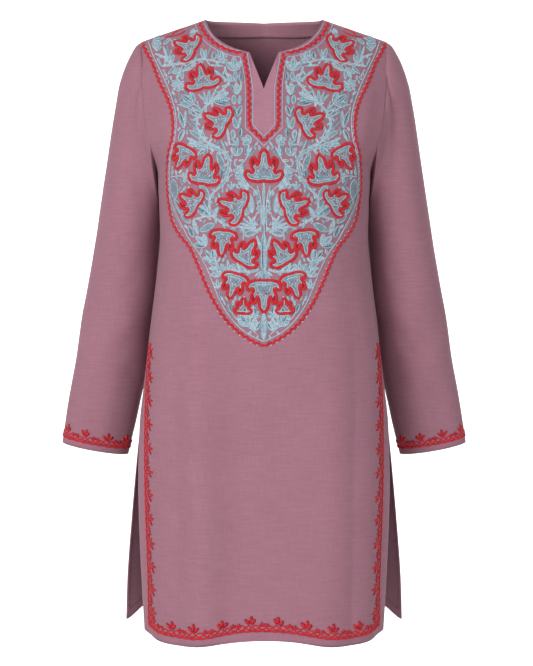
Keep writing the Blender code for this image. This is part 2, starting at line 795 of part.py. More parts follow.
def make_hem_border(collection):
    """The border up one slit edge, along the hem and up the other slit edge."""
    low_z = HEM_Z + BORDER_IN
    top_z = SLIT_TOP_Z + 0.004
    side_rows = round((top_z - low_z) / (BUD_SPACING / 4))
    places = []
    for i in range(side_rows):
        z = top_z + (low_z - top_z) * i / side_rows
        inset = 0.006 + (BORDER_IN - 0.006) * smoothstep((SLIT_TOP_Z - z) / 0.12)
        places.append((across_from_edge(z, inset), z))
    corner = across_from_edge(low_z, BORDER_IN)
    width = sum(
        (lower_point("front", corner - 2 * corner * i / 60, low_z)
         - lower_point("front", corner - 2 * corner * (i + 1) / 60, low_z)).length
        for i in range(60)
    )
    hem_rows = 4 * round(width / BUD_SPACING)
    hem = [(corner - 2 * corner * i / hem_rows, low_z) for i in range(hem_rows + 1)]
    whole = places + hem + [(-a, z) for a, z in reversed(places)]
    line = [seated("front_panel", lower_point("front", a, z)) for a, z in whole]
    normals = []
    for a, z in whole:
        step = 0.004
        across = lower_point("front", a + step, z) - lower_point("front", a - step, z)
        up = lower_point("front", a, z + step) - lower_point("front", a, z - step)
        normals.append(across.cross(up).normalized())
    outer = [BORDER_WIDTH / 2] * len(line)
    sections = band_sections(line, normals, outer, bud_widths(len(line)))
    return strip_object("hem_border", sections, False, "red_thread", collection)


def make_cuff_border(name, side, collection):
    buds = 12
    count = 4 * buds
    row = 2 - CUFF_BORDER_UP / (SLEEVE_TUBE_TOP_Z - CUFF_Z)
    outer = bud_widths(count)
    sections = []
    for i in range(count):
        turn = i / count
        point = sleeve_point(turn, row)
        around = sleeve_point(turn + 0.002, row) - point
        up = (sleeve_point(turn, row - 0.01) - point).normalized()
        normal = around.cross(up).normalized()
        if normal.dot(point - sleeve_point(turn + 0.5, row)) < 0:
            normal = -normal
        low, high = normal * BAND_LIFT, normal * (BAND_LIFT + EMBROIDERY_HEIGHT)
        bottom = seated("sleeve_left", point - up * (BORDER_WIDTH / 2))
        top = seated("sleeve_left", point + up * outer[i])
        four = (bottom + low, top + low, top + high, bottom + high)
        sections.append([mirrored(p, side) for p in four])
    return strip_object(name, sections, True, "red_thread", collection)


def build():
    clear_scene()
    garment = bpy.data.collections.new("kurta_tunic")
    bpy.context.scene.collection.children.link(garment)
    make_panel("front", FRONT_COLUMNS, garment)
    make_panel("back", BACK_COLUMNS, garment)
    make_sleeve("sleeve_left", 1, garment)
    make_sleeve("sleeve_right", -1, garment)
    make_facing(garment)
    make_yoke_cord(garment)
    make_neck_cord(garment)
    make_leaves(garment)
    make_hem_border(garment)
    make_cuff_border("cuff_border_left", 1, garment)
    make_cuff_border("cuff_border_right", -1, garment)


build()
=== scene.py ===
import math
from collections import namedtuple

import bmesh
import bpy
import numpy as np
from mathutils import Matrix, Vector, noise
from mathutils.bvhtree import BVHTree


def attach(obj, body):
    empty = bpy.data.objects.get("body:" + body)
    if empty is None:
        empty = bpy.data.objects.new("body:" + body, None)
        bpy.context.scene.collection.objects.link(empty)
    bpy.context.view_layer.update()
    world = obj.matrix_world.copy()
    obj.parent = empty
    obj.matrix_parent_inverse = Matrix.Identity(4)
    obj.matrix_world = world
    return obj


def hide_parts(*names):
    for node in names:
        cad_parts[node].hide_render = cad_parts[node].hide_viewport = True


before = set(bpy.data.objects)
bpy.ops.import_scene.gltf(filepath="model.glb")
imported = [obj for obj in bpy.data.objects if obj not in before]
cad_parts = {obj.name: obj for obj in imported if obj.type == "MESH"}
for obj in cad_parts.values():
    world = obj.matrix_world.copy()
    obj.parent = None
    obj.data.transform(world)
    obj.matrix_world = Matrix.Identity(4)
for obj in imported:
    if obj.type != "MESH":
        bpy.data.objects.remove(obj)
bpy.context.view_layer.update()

# Front panel
# One piece of mauve, plainly woven, slubby cloth. It is cut with a round neck, a V notch, curved
# armholes and long side slits, and hangs in a few soft upright folds from the bust.
CLOTH = 0.0012
SEAM_GAP = 0.0005
HEM_Z = -0.928
HEM_CORNER_RISE = 0.003
HEM_MIDDLE_RISE = 0.0065
HEM_DROOP = 0.0070
BACK_CORNER_DROP = 0.0020
BACK_HEM_RISE = 0.0160
UNDERARM_Z = -0.240
NECK_HALF = 0.088
NECK_TOP_Z = 0.000
SHOULDER_HALF = 0.188
SHOULDER_SLOPE = 0.345
SEAM_Y = 0.005
FRONT_NECK_DROP = 0.067
BACK_NECK_RISE = 0.0045
NOTCH_HALF = 0.0215
NOTCH_BOTTOM_Z = -0.1235
SQUARENESS = 2.35
FULL_DEPTH_DROP = 0.20
NOTCH_ACROSS = 0.100
NECK_ACROSS = 0.380
FLARE_FROM = 0.80
HEM_MIDDLE_REACH = 0.42
HEM_DROOP_AT = 0.5
BACK_CORNER_REACH = 0.24
FRONT_COLUMNS = 108
FRONT_LOWER_ROWS = 150
FRONT_UPPER_ROWS = 56
ROWS_CROWD = 0.7

Section = namedtuple(
    "Section", "z front_x back_x front_y back_y front_edge_y back_edge_y flare"
)
SECTIONS = (
    Section(0.080, 0.2100, 0.2100, -0.079, 0.080, 0.005, 0.005, 0.0),
    Section(0.000, 0.2080, 0.2080, -0.081, 0.086, 0.005, 0.005, 0.0),
    Section(-0.060, 0.2060, 0.2060, -0.086, 0.102, 0.005, 0.005, 0.0),
    Section(-0.120, 0.2020, 0.2020, -0.104, 0.111, 0.005, 0.005, 0.0),
    Section(-0.185, 0.1900, 0.1900, -0.126, 0.114, 0.005, 0.005, 0.0),
    Section(-0.240, 0.1630, 0.1630, -0.136, 0.112, 0.005, 0.005, 0.0),
    Section(-0.262, 0.1622, 0.1622, -0.138, 0.1105, 0.005, 0.005, 0.0),
    Section(-0.280, 0.1605, 0.1605, -0.139, 0.109, 0.005, 0.005, 0.0),
    Section(-0.330, 0.1595, 0.1595, -0.138, 0.104, 0.005, 0.005, 0.0),
    Section(-0.385, 0.1640, 0.1640, -0.135, 0.107, 0.005, 0.005, 0.0),
    Section(-0.494, 0.1765, 0.1765, -0.134, 0.117, 0.005, 0.005, 0.0),
    Section(-0.560, 0.1825, 0.1840, -0.135, 0.121, -0.012, 0.008, 0.0005),
    Section(-0.620, 0.1870, 0.1910, -0.136, 0.124, -0.028, 0.018, 0.001),
    Section(-0.690, 0.1880, 0.1990, -0.138, 0.127, -0.040, 0.034, 0.001),
    Section(-0.770, 0.1860, 0.2070, -0.140, 0.129, -0.046, 0.048, 0.001),
    Section(-0.870, 0.1815, 0.2150, -0.142, 0.130, -0.044, 0.060, 0.001),
    Section(-0.928, 0.1785, 0.2170, -0.142, 0.130, -0.040, 0.065, 0.001),
)

# Soft upright folds. One that ends well above the hem fades out over the last share of its length.
FOLD_RISE = 0.35
FOLD_FADE = 0.4
FOLDS_TO_HEM_Z = -0.918
Fold = namedtuple("Fold", "panel across top_z bottom_z depth half_width lean")
FOLDS = (
    Fold("front", -0.62, -0.36, -0.93, 0.0050, 0.20, -0.06),
    Fold("front", 0.64, -0.33, -0.93, 0.0055, 0.20, 0.04),
    Fold("front", -0.34, -0.50, -0.93, -0.0035, 0.22, 0.00),
    Fold("front", 0.33, -0.46, -0.93, -0.0035, 0.22, 0.03),
    Fold("front", 0.86, -0.26, -0.60, -0.0030, 0.16, 0.00),
    Fold("front", -0.86, -0.27, -0.58, -0.0030, 0.16, 0.00),
    Fold("back", -0.66, -0.30, -0.93, 0.0060, 0.20, -0.05),
    Fold("back", 0.64, -0.32, -0.93, 0.0060, 0.20, 0.05),
    Fold("back", 0.30, -0.26, -0.93, -0.0060, 0.24, 0.06),
    Fold("back", -0.28, -0.28, -0.93, -0.0055, 0.24, -0.04),
    Fold("back", 0.00, -0.30, -0.93, 0.0045, 0.22, 0.02),
)


def smoothstep(t):
    t = min(1.0, max(0.0, t))
    return t * t * (3 - 2 * t)


def eased(start, leaving, end, arriving, t):
    """A smooth way from a start to an end, with the slopes that it leaves and arrives by."""
    return (
        start * (1 + 2 * t) * (1 - t) ** 2
        + leaving * t * (1 - t) ** 2
        + end * t * t * (3 - 2 * t)
        + arriving * t * t * (t - 1)
    )


def eased_curve(places, values):
    """A smooth function through the points of a table that never overshoots them."""
    order = np.argsort(places)
    xs = np.array(places, float)[order]
    ys = np.array(values, float)[order]
    steps = np.diff(xs)
    slopes = np.diff(ys) / steps
    tangents = np.zeros(len(xs))
    tangents[0], tangents[-1] = slopes[0], slopes[-1]
    for i in range(1, len(xs) - 1):
        if slopes[i - 1] * slopes[i] > 0:
            before, after = 2 * steps[i] + steps[i - 1], steps[i] + 2 * steps[i - 1]
            tangents[i] = (before + after) / (before / slopes[i - 1] + after / slopes[i])
    xs, ys, steps, tangents = xs.tolist(), ys.tolist(), steps.tolist(), tangents.tolist()

    def at(x):
        x = min(xs[-1], max(xs[0], x))
        i = 0
        while i < len(steps) - 1 and x > xs[i + 1]:
            i += 1
        leaving, arriving = tangents[i] * steps[i], tangents[i + 1] * steps[i]
        return eased(ys[i], leaving, ys[i + 1], arriving, (x - xs[i]) / steps[i])

    return at


def column_curve(rows, key, name):
    return eased_curve([getattr(r, key) for r in rows], [getattr(r, name) for r in rows])


LEVELS = {name: column_curve(SECTIONS, "z", name) for name in Section._fields[1:]}


def seam_shift(panel):
    """Half of the gap that the side seam leaves between the panels, towards this one."""
    return -SEAM_GAP / 2 if panel == "front" else SEAM_GAP / 2


def section(panel, z):
    """A panel's edge x, middle y, edge y and edge flare at a height."""
    edge_y = LEVELS[f"{panel}_edge_y"](z) + seam_shift(panel)
    flare = LEVELS["flare"](z) if panel == "front" else 0.0
    return LEVELS[f"{panel}_x"](z), LEVELS[f"{panel}_y"](z), edge_y, flare


def ridge_z(x):
    """Height of the shoulder seam, carried on over the neck hole."""
    return NECK_TOP_Z - SHOULDER_SLOPE * (abs(x) - NECK_HALF)


def fold_depth(panel, across, z):
    """How far the folds move the cloth outwards here."""
    moved = 0.0
    for fold in FOLDS:
        down = (fold.top_z - z) / (fold.top_z - fold.bottom_z)
        if fold.panel != panel or down <= 0:
            continue
        offset = (across - fold.across - fold.lean * down) / fold.half_width
        if abs(offset) < 1:
            rise = smoothstep(down / FOLD_RISE)
            if fold.bottom_z > FOLDS_TO_HEM_Z:
                rise *= 1 - smoothstep((down - 1 + FOLD_FADE) / FOLD_FADE)
            moved += fold.depth * rise * 0.5 * (1 + math.cos(math.pi * offset))
    return moved


def lower_point(panel, across, z):
    """A point below the underarm. across runs from -1 at one side edge to 1 at the other."""
    edge_x, middle_y, edge_y, flare = section(panel, z)
    base_y = SEAM_Y + seam_shift(panel)
    edge_share = (edge_y - base_y) / (middle_y - base_y)
    edge_angle = math.acos(min(1.0, max(0.0, edge_share)) ** (SQUARENESS / 2))
    half = edge_x / math.sin(edge_angle) ** (2 / SQUARENESS)
    angle = abs(across) * edge_angle
    x = half * math.sin(angle) ** (2 / SQUARENESS)
    y = base_y + (middle_y - base_y) * math.cos(angle) ** (2 / SQUARENESS)
    moved = fold_depth(panel, across, z)
    x += moved * math.sin(angle) + flare * smoothstep((abs(across) - FLARE_FROM) / (1 - FLARE_FROM))
    y += math.copysign(moved * math.cos(angle), middle_y)
    return Vector((math.copysign(x, across), y, z))


def upper_point(panel, x, z):
    """A point on the chest or upper back, at a place seen from the front."""
    half, middle_y, _, _ = section(panel, z)
    base_y = SEAM_Y + seam_shift(panel)
    side = min(1.0, abs(x) / half)
    drop = min(1.0, max(0.0, (ridge_z(x) - z) / FULL_DEPTH_DROP))
    share = (1 - side**SQUARENESS) ** (1 / SQUARENESS) * math.sqrt(1 - (1 - drop) ** 3)
    return Vector((x, base_y + (middle_y - base_y) * share, z))


def top_edge(panel, across):
    """Where a column with across >= 0 ends, as (x, z): on the notch, the neckline or the shoulder."""
    if across >= NECK_ACROSS:
        t = (across - NECK_ACROSS) / (1 - NECK_ACROSS)
        x = NECK_HALF + (SHOULDER_HALF - NECK_HALF) * t
        return x, ridge_z(x)
    if panel == "back":
        x = NECK_HALF * math.sin(across / NECK_ACROSS * math.pi / 2)
        return x, NECK_TOP_Z + BACK_NECK_RISE * (1 - (x / NECK_HALF) ** 2)
    corner_angle = math.asin(NOTCH_HALF / NECK_HALF)
    if across >= NOTCH_ACROSS:
        t = (across - NOTCH_ACROSS) / (NECK_ACROSS - NOTCH_ACROSS)
        angle = corner_angle + (math.pi / 2 - corner_angle) * t
        return NECK_HALF * math.sin(angle), NECK_TOP_Z - FRONT_NECK_DROP * math.cos(angle)
    t = across / NOTCH_ACROSS
    corner_z = NECK_TOP_Z - FRONT_NECK_DROP * math.cos(corner_angle)
    return NOTCH_HALF * t, NOTCH_BOTTOM_Z + (corner_z - NOTCH_BOTTOM_Z) * t


def hem_height(across):
    """The front's hem droops a little on both sides of the middle."""
    rise = HEM_MIDDLE_RISE * (1 - smoothstep(abs(across) / HEM_MIDDLE_REACH))
    beside = (abs(across) - HEM_DROOP_AT) / HEM_DROOP_AT
    droop = HEM_DROOP * (0.5 + 0.5 * math.cos(math.pi * beside))
    return HEM_Z + rise - droop + HEM_CORNER_RISE * across**2


def back_hem_height(across):
    """The back's hem dips at its two corners."""
    return HEM_Z - BACK_CORNER_DROP + BACK_HEM_RISE * smoothstep((1 - abs(across)) / BACK_CORNER_REACH)


def panel_point(panel, across, row):
    """A point of the front or back. row is 0 at the hem, 1 at the underarm and 2 at the top."""
    if row <= 1:
        hem = hem_height(across) if panel == "front" else back_hem_height(across)
        return lower_point(panel, across, hem + (UNDERARM_Z - hem) * row)
    top_x, top_z = top_edge(panel, abs(across))
    up = 1 - (2 - row) ** 2
    start_x = lower_point(panel, abs(across), UNDERARM_Z).x
    x = start_x + (top_x - start_x) * (1 - (1 - up) ** 2)
    return upper_point(panel, math.copysign(x, across), UNDERARM_Z + (top_z - UNDERARM_Z) * up)


# A crease is a soft trough (depth below 0) or ridge along a line seen from the front or back,
# given as (x, z) points, and it fades towards its ends.
Crease = namedtuple("Crease", "depth half_width points")


def run_lengths(line):
    """How far along a line of points each of them is."""
    return np.concatenate([[0], np.cumsum(np.linalg.norm(np.diff(line, axis=0), axis=1))])


def crease_depth(creases, places):
    """How far the creases move each place, an array of (x, z)."""
    moved = np.zeros(len(places))
    for crease in creases:
        line = np.array(crease.points, float)
        lengths = run_lengths(line)
        nearest = np.full(len(places), 1e9)
        along = np.zeros(len(places))
        for a, b, start, end in zip(line, line[1:], lengths, lengths[1:]):
            t = np.clip((places - a) @ (b - a) / (end - start) ** 2, 0, 1)
            gap = np.linalg.norm(places - a - t[:, None] * (b - a), axis=1)
            closer = gap < nearest
            nearest[closer] = gap[closer]
            along[closer] = (start + t * (end - start))[closer] / lengths[-1]
        fade = np.sin(np.pi * np.clip(along, 0.02, 0.98)) ** 0.7
        moved += crease.depth * fade * np.exp(-((nearest / crease.half_width) ** 2))
    return moved


# How often the small waves of hanging cloth come to the metre, along each axis, and how high they are
Waves = namedtuple("Waves", "x y z high")
CLOTH_WAVES = (Waves(14, 9, 7, 0.0006), Waves(45, 30, 26, 0.00022))
EDGE_MOVES = 0.15


def unevenness(point, seed):
    """How far the small waves move a point of the cloth."""
    moved = 0.0
    for waves in CLOTH_WAVES:
        spot = Vector((point.x * waves.x + seed, point.y * waves.y, point.z * waves.z))
        moved += waves.high * noise.noise(spot)
    return moved


def cloth_grid(columns, rows, place, around=False):
    """A grid of cloth whose vertices are placed by its column and row, with a flat map in metres."""
    made = bmesh.new()
    bmesh.ops.create_grid(
        made, x_segments=len(columns) - 1, y_segments=len(rows) - 1, size=1.0
    )
    places = {}
    for vert in made.verts:
        i = round((vert.co.x + 1) / 2 * (len(columns) - 1))
        j = round((vert.co.y + 1) / 2 * (len(rows) - 1))
        vert.co = place(columns[i], rows[j])
        places[vert] = (i, j)
    spots = {ij: vert.co.copy() for vert, ij in places.items()}
    middle = len(columns) // 2
    flat = {}
    for j in range(len(rows)):
        flat[middle, j] = 0.0
        for i in range(middle + 1, len(columns)):
            flat[i, j] = flat[i - 1, j] + (spots[i, j] - spots[i - 1, j]).length
        for i in range(middle - 1, -1, -1):
            flat[i, j] = flat[i + 1, j] - (spots[i, j] - spots[i + 1, j]).length
    grain = made.loops.layers.uv.new("Grain")
    for face in made.faces:
        for loop in face.loops:
            i, j = places[loop.vert]
            loop[grain].uv = (flat[i, j], spots[i, j].z)
    if around:
        bmesh.ops.remove_doubles(made, verts=made.verts[:], dist=1e-6)
    return made


def drape(made, creases, seed):
    """Presses the creases and small waves into a grid of cloth, and less into its edges."""
    made.normal_update()
    verts = made.verts[:]
    moved = crease_depth(creases, np.array([(v.co.x, v.co.z) for v in verts]))
    for vert, by in zip(verts, moved):
        share = EDGE_MOVES if vert.is_boundary else 1.0
        vert.co += vert.normal * share * (by + unevenness(vert.co, seed))


def placed(name, data):
    """An object of the scene that shows a mesh, a lamp or a lens."""
    thing = bpy.data.objects.new(name, data)
    bpy.context.scene.collection.objects.link(thing)
    return thing


def finished(name, made, thickness=None):
    """The piece that a bmesh becomes, with a wall inwards where it is cloth."""
    mesh = bpy.data.meshes.new(name)
    made.to_mesh(mesh)
    made.free()
    mesh.shade_smooth()
    piece = placed(name, mesh)
    if thickness:
        wall = piece.modifiers.new("wall", "SOLIDIFY")
        wall.thickness = thickness
        wall.offset = -1.0
    return piece


def panel_grid(panel, count, lower_rows, upper_rows):
    """The grid of a panel, with columns that end at the corners of its neck and notch."""
    half = [i / (count // 2) for i in range(count // 2 + 1)]
    for wanted in (NECK_ACROSS, NOTCH_ACROSS) if panel == "front" else (NECK_ACROSS,):
        nearest = min(range(1, len(half)), key=lambda i: abs(half[i] - wanted))
        half[nearest] = wanted
    columns = [-a for a in reversed(half[1:])] + half
    if panel == "back":
        columns.reverse()
    rows = [i / lower_rows for i in range(lower_rows)]
    rows += [2 - (1 - i / upper_rows) ** ROWS_CROWD for i in range(upper_rows + 1)]
    return cloth_grid(columns, rows, lambda across, row: panel_point(panel, across, row))


FRONT_CREASES = (
    Crease(-0.0030, 0.012, ((-0.176, -0.095), (-0.166, -0.160), (-0.150, -0.225), (-0.140, -0.290))),
    Crease(0.0022, 0.012, ((-0.158, -0.120), (-0.146, -0.190), (-0.132, -0.250))),
    Crease(-0.0030, 0.012, ((0.176, -0.095), (0.168, -0.155), (0.152, -0.215), (0.143, -0.275))),
    Crease(0.0020, 0.012, ((0.160, -0.125), (0.150, -0.190), (0.137, -0.240))),
    Crease(-0.0024, 0.011, ((-0.160, -0.245), (-0.140, -0.285), (-0.118, -0.335))),
    Crease(-0.0022, 0.011, ((0.160, -0.248), (0.143, -0.290), (0.124, -0.330))),
    Crease(0.0085, 0.025, ((-0.102, -0.380), (-0.096, -0.600), (-0.092, -0.800), (-0.090, -1.060))),
    Crease(-0.0075, 0.030, ((-0.038, -0.380), (-0.035, -0.600), (-0.032, -1.060))),
    Crease(-0.0050, 0.034, ((0.010, -0.400), (0.012, -0.600), (0.012, -1.060))),
    Crease(0.0064, 0.034, ((0.108, -0.380), (0.111, -0.600), (0.114, -1.060))),
    Crease(-0.0014, 0.006, ((0.003, -0.118), (0.001, -0.150), (0.002, -0.186))),
)

front_cloth = panel_grid("front", FRONT_COLUMNS, FRONT_LOWER_ROWS, FRONT_UPPER_ROWS)
drape(front_cloth, FRONT_CREASES, 3.0)
FRONT_FACES = BVHTree.FromBMesh(front_cloth)
front_panel = finished("front_panel_cloth", front_cloth, CLOTH)


class Made:
    """A number, colour or vector that a finish works out for each spot of a surface."""

    def __init__(self, finish, socket):
        self.finish, self.socket = finish, socket

    def worked_out(self, operation, other):
        return self.finish.node("Math", {"operation": operation}, {0: self, 1: other})[0]

    def __add__(self, other):
        return self.worked_out("ADD", other)

    def __mul__(self, other):
        return self.worked_out("MULTIPLY", other)

    __radd__, __rmul__ = __add__, __mul__


class Finish:
    """A procedural material: its Principled shader, and the nodes that feed it."""

    def __init__(self, name, **settings):
        self.material = bpy.data.materials.new(name)
        self.material.use_nodes = True
        self.tree = self.material.node_tree
        self.shader = self.tree.nodes["Principled BSDF"]
        for key, value in settings.items():
            self.shader.inputs[key.replace("_", " ")].default_value = value

    def node(self, kind, settings=None, inputs=None):
        """Adds a shader node, and returns its outputs."""
        added = self.tree.nodes.new("ShaderNode" + kind)
        for key, value in (settings or {}).items():
            setattr(added, key, value)
        for key, value in (inputs or {}).items():
            self.feed(added.inputs[key], value)
        return [Made(self, socket) for socket in added.outputs]

    def feed(self, socket, value):
        if isinstance(value, Made):
            self.tree.links.new(value.socket, socket)
        else:
            socket.default_value = value

    def mix(self, share, first, second, blend="MIX"):
        """A colour between two, by a share from 0 to 1, or the first multiplied by the second."""
        inputs = {"Factor": share, 6: first, 7: second}
        return self.node("Mix", {"data_type": "RGBA", "blend_type": blend}, inputs)[2]

    def share(self, value, start, end):
        """A share that goes from 0 to 1 as a value goes from a start to an end."""
        return self.node("MapRange", {}, {0: value, 1: start, 2: end})[0]

    def shows(self, **inputs):
        """Feeds the Principled shader, and returns the material."""
        for key, value in inputs.items():
            self.feed(self.shader.inputs[key.replace("_", " ")], value)
        return self.material


ROSY_SHEEN = (1.0, 0.90, 0.94, 1.0)
# How much paler the painted highlight on the front's placket makes the cloth
PAINTED_LIGHT_GAIN = (1.18, 1.20, 1.20, 1.0)


def woven(name, light, deep, painted_light_mask=None):
    """Plain weave of uneven hand-spun-looking yarns: slubs both ways, and a faint mottle."""
    cloth = Finish(name, Roughness=0.86, Sheen_Weight=0.14, Sheen_Roughness=0.45)
    cloth.shader.inputs["Sheen Tint"].default_value = ROSY_SHEEN
    cloth.shader.inputs["Specular IOR Level"].default_value = 0.25
    grain = cloth.node("UVMap", {"uv_map": "Grain"})[0]

    def streaks(scale, detail=2.0):
        spread = cloth.node("Mapping", {}, {"Vector": grain, "Scale": scale})[0]
        return cloth.node("TexNoise", {}, {"Vector": spread, "Scale": 1.0, "Detail": detail})[0]

    # How often the yarns, slubs and mottle come to the metre, across and down
    weft = streaks((55, 620, 1))
    warp = streaks((620, 40, 1))
    slubs = streaks((26, 330, 1), 3.0)
    mottle = streaks((16, 12, 1), 3.0)
    threads = weft * 0.5 + warp * 0.5
    tone = threads * 0.55 + slubs * 0.30 + mottle * 0.15
    height = threads * 0.6 + slubs * 0.4
    bump = cloth.node("Bump", {}, {"Strength": 0.35, "Distance": 0.0006, "Height": height})[0]
    colour = cloth.mix(cloth.share(tone, 0.36, 0.64), deep, light)
    # Where a mask is given, the colour there is painted paler, as painted light
    if painted_light_mask is not None:
        paler = cloth.mix(1.0, colour, PAINTED_LIGHT_GAIN, blend="MULTIPLY")
        colour = cloth.mix(painted_light_mask(cloth), colour, paler)
    return cloth.shows(Base_Color=colour, Normal=bump)


MAUVE_LIGHT = (0.310, 0.146, 0.190, 1.0)
MAUVE_DEEP = (0.252, 0.111, 0.148, 1.0)
mauve_weave = woven("mauve_weave", MAUVE_LIGHT, MAUVE_DEEP)
PLACKET_HALF = 0.0195
PLACKET_TOP_Z = -0.070
PLACKET_FOOT_Z = -0.205
PLACKET_SIDE_FADE = 0.003
PLACKET_TOP_FADE = 0.010


def placket_painted_light(cloth):
    """How far a spot is on the placket round and below the notch, where the cloth's colour is painted a
    little paler: a painted highlight where the chest slopes up to the light.
    """
    place = cloth.node("SeparateXYZ", {}, {0: cloth.node("TexCoord")[3]})
    off = cloth.node("Math", {"operation": "ABSOLUTE"}, {0: place[0]})[0]
    low = cloth.share(place[2], PLACKET_FOOT_Z, PLACKET_FOOT_Z + PLACKET_HALF)
    beside = cloth.share(off, PLACKET_HALF, PLACKET_HALF - PLACKET_SIDE_FADE)
    high = cloth.share(place[2], PLACKET_TOP_Z, PLACKET_TOP_Z - PLACKET_TOP_FADE)
    return low * beside * high


# The front's cloth, with a painted highlight on the placket
front_weave_painted_light = woven("front_weave_painted_light", MAUVE_LIGHT, MAUVE_DEEP, painted_light_mask=placket_painted_light)


def sewn(piece, material, *nodes, slot="mauve_cloth"):
    """Gives a piece its material and makes it stand for its CAD nodes."""
    piece.data.materials.append(material)
    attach(piece, "root")
    if nodes:
        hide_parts(*nodes)
    return piece


sewn(front_panel, front_weave_painted_light, "front_panel")

# Back panel
# The same cloth, cut with a shallow back neck and a fuller hem. It falls from the shoulder blades
# in deeper folds, and shows inside the neck and through the side slits.
BACK_COLUMNS = 100
BACK_LOWER_ROWS = 130
BACK_UPPER_ROWS = 48
BACK_CREASES = (
    Crease(-0.0028, 0.014, ((-0.170, -0.100), (-0.158, -0.170), (-0.146, -0.240))),
    Crease(-0.0028, 0.014, ((0.170, -0.100), (0.158, -0.170), (0.147, -0.235))),
    Crease(0.0020, 0.020, ((-0.110, -0.130), (-0.095, -0.240), (-0.088, -0.400))),
    Crease(0.0018, 0.020, ((0.106, -0.140), (0.097, -0.260), (0.090, -0.410))),
    Crease(-0.0022, 0.018, ((0.030, -0.200), (0.045, -0.330), (0.060, -0.520))),
    Crease(-0.0022, 0.018, ((-0.034, -0.210), (-0.050, -0.350), (-0.064, -0.540))),
    Crease(0.0016, 0.020, ((0.000, -0.480), (0.006, -0.680), (0.010, -0.900))),
    Crease(-0.0020, 0.020, ((0.130, -0.560), (0.140, -0.720), (0.150, -0.910))),
    Crease(-0.0020, 0.020, ((-0.128, -0.540), (-0.140, -0.720), (-0.152, -0.910))),
    Crease(-0.0012, 0.007, ((0.004, 0.002), (0.002, -0.040), (0.004, -0.100))),
)
back_cloth = panel_grid("back", BACK_COLUMNS, BACK_LOWER_ROWS, BACK_UPPER_ROWS)
drape(back_cloth, BACK_CREASES, 11.0)
BACK_FACES = BVHTree.FromBMesh(back_cloth)
back_panel = finished("back_panel_cloth", back_cloth, CLOTH)
sewn(back_panel, mauve_weave, "back_panel")

# Sleeves
# Each is one cut of the same cloth, closed by an underarm seam and set into the armhole with a
# smooth cap. It hangs a little out and back, nearly straight to an open cuff.
SLEEVE_TUCK = 0.004
Ring = namedtuple("Ring", "x y z half_width half_depth")
SLEEVE_RINGS = (
    Ring(0.1669, 0.000, -0.060, 0.0480, 0.0520),
    Ring(0.2085, 0.041, -0.315, 0.0500, 0.0560),
    Ring(0.2212, 0.048, -0.420, 0.0550, 0.0500),
    Ring(0.2390, 0.055, -0.525, 0.0562, 0.0420),
    Ring(0.2532, 0.060, -0.600, 0.0552, 0.0350),
    Ring(0.2652, 0.064, -0.660, 0.0527, 0.0290),
)
SLEEVE_TUBE_TOP_Z = -0.315
CUFF_Z = -0.660
CAP_LENGTH = 0.075
SLEEVE_OUT = math.radians(10.3)
SLEEVE_BACK = math.radians(6.5)
CAP_OUT = 0.75
CAP_ROUND = 0.30
CAP_DOWN = 0.55
CAP_JOIN = 0.75
CAP_JOIN_OVER = 0.55
CAP_FROM = 0.30
CAP_BLEND = 0.45
Elbow = namedtuple("Elbow", "z height depth turned_rad")
ELBOWS = (Elbow(-0.460, 0.035, 0.0020, 0.6), Elbow(-0.530, 0.030, 0.0018, 2.2))

SLEEVE_DOWN = Vector(
    (math.sin(SLEEVE_OUT), math.sin(SLEEVE_BACK), -math.cos(SLEEVE_OUT) * math.cos(SLEEVE_BACK))
).normalized()
SLEEVE_ACROSS = (Vector((1, 0, 0)) - SLEEVE_DOWN * SLEEVE_DOWN.x).normalized()
SLEEVE_FORWARDS = SLEEVE_ACROSS.cross(SLEEVE_DOWN).normalized()
if SLEEVE_FORWARDS.y > 0:
    SLEEVE_FORWARDS.negate()
SLEEVE = {
    name: column_curve(SLEEVE_RINGS, "z", name) for name in ("x", "y", "half_width", "half_depth")
}


def armhole_point(turn):
    """The armhole seam at +X, from the shoulder over the front to the underarm and up the back."""
    if turn <= 0.5:
        return panel_point("front", 1.0, 2 - 2 * turn)
    return panel_point("back", 1.0, 1 + 2 * (turn - 0.5))


def sleeve_ring_point(turn, z):
    """A point of a section of the sleeve whose centre is at height z."""
    angle = 2 * math.pi * turn
    elbow = sum(
        e.depth * math.exp(-(((z - e.z) / e.height) ** 2)) * math.cos(3 * angle + e.turned_rad)
        for e in ELBOWS
    )
    return (
        Vector((SLEEVE["x"](z), SLEEVE["y"](z), z))
        + SLEEVE_ACROSS * (SLEEVE["half_width"](z) + elbow) * math.cos(angle)
        + SLEEVE_FORWARDS * (SLEEVE["half_depth"](z) + elbow) * math.sin(angle)
    )


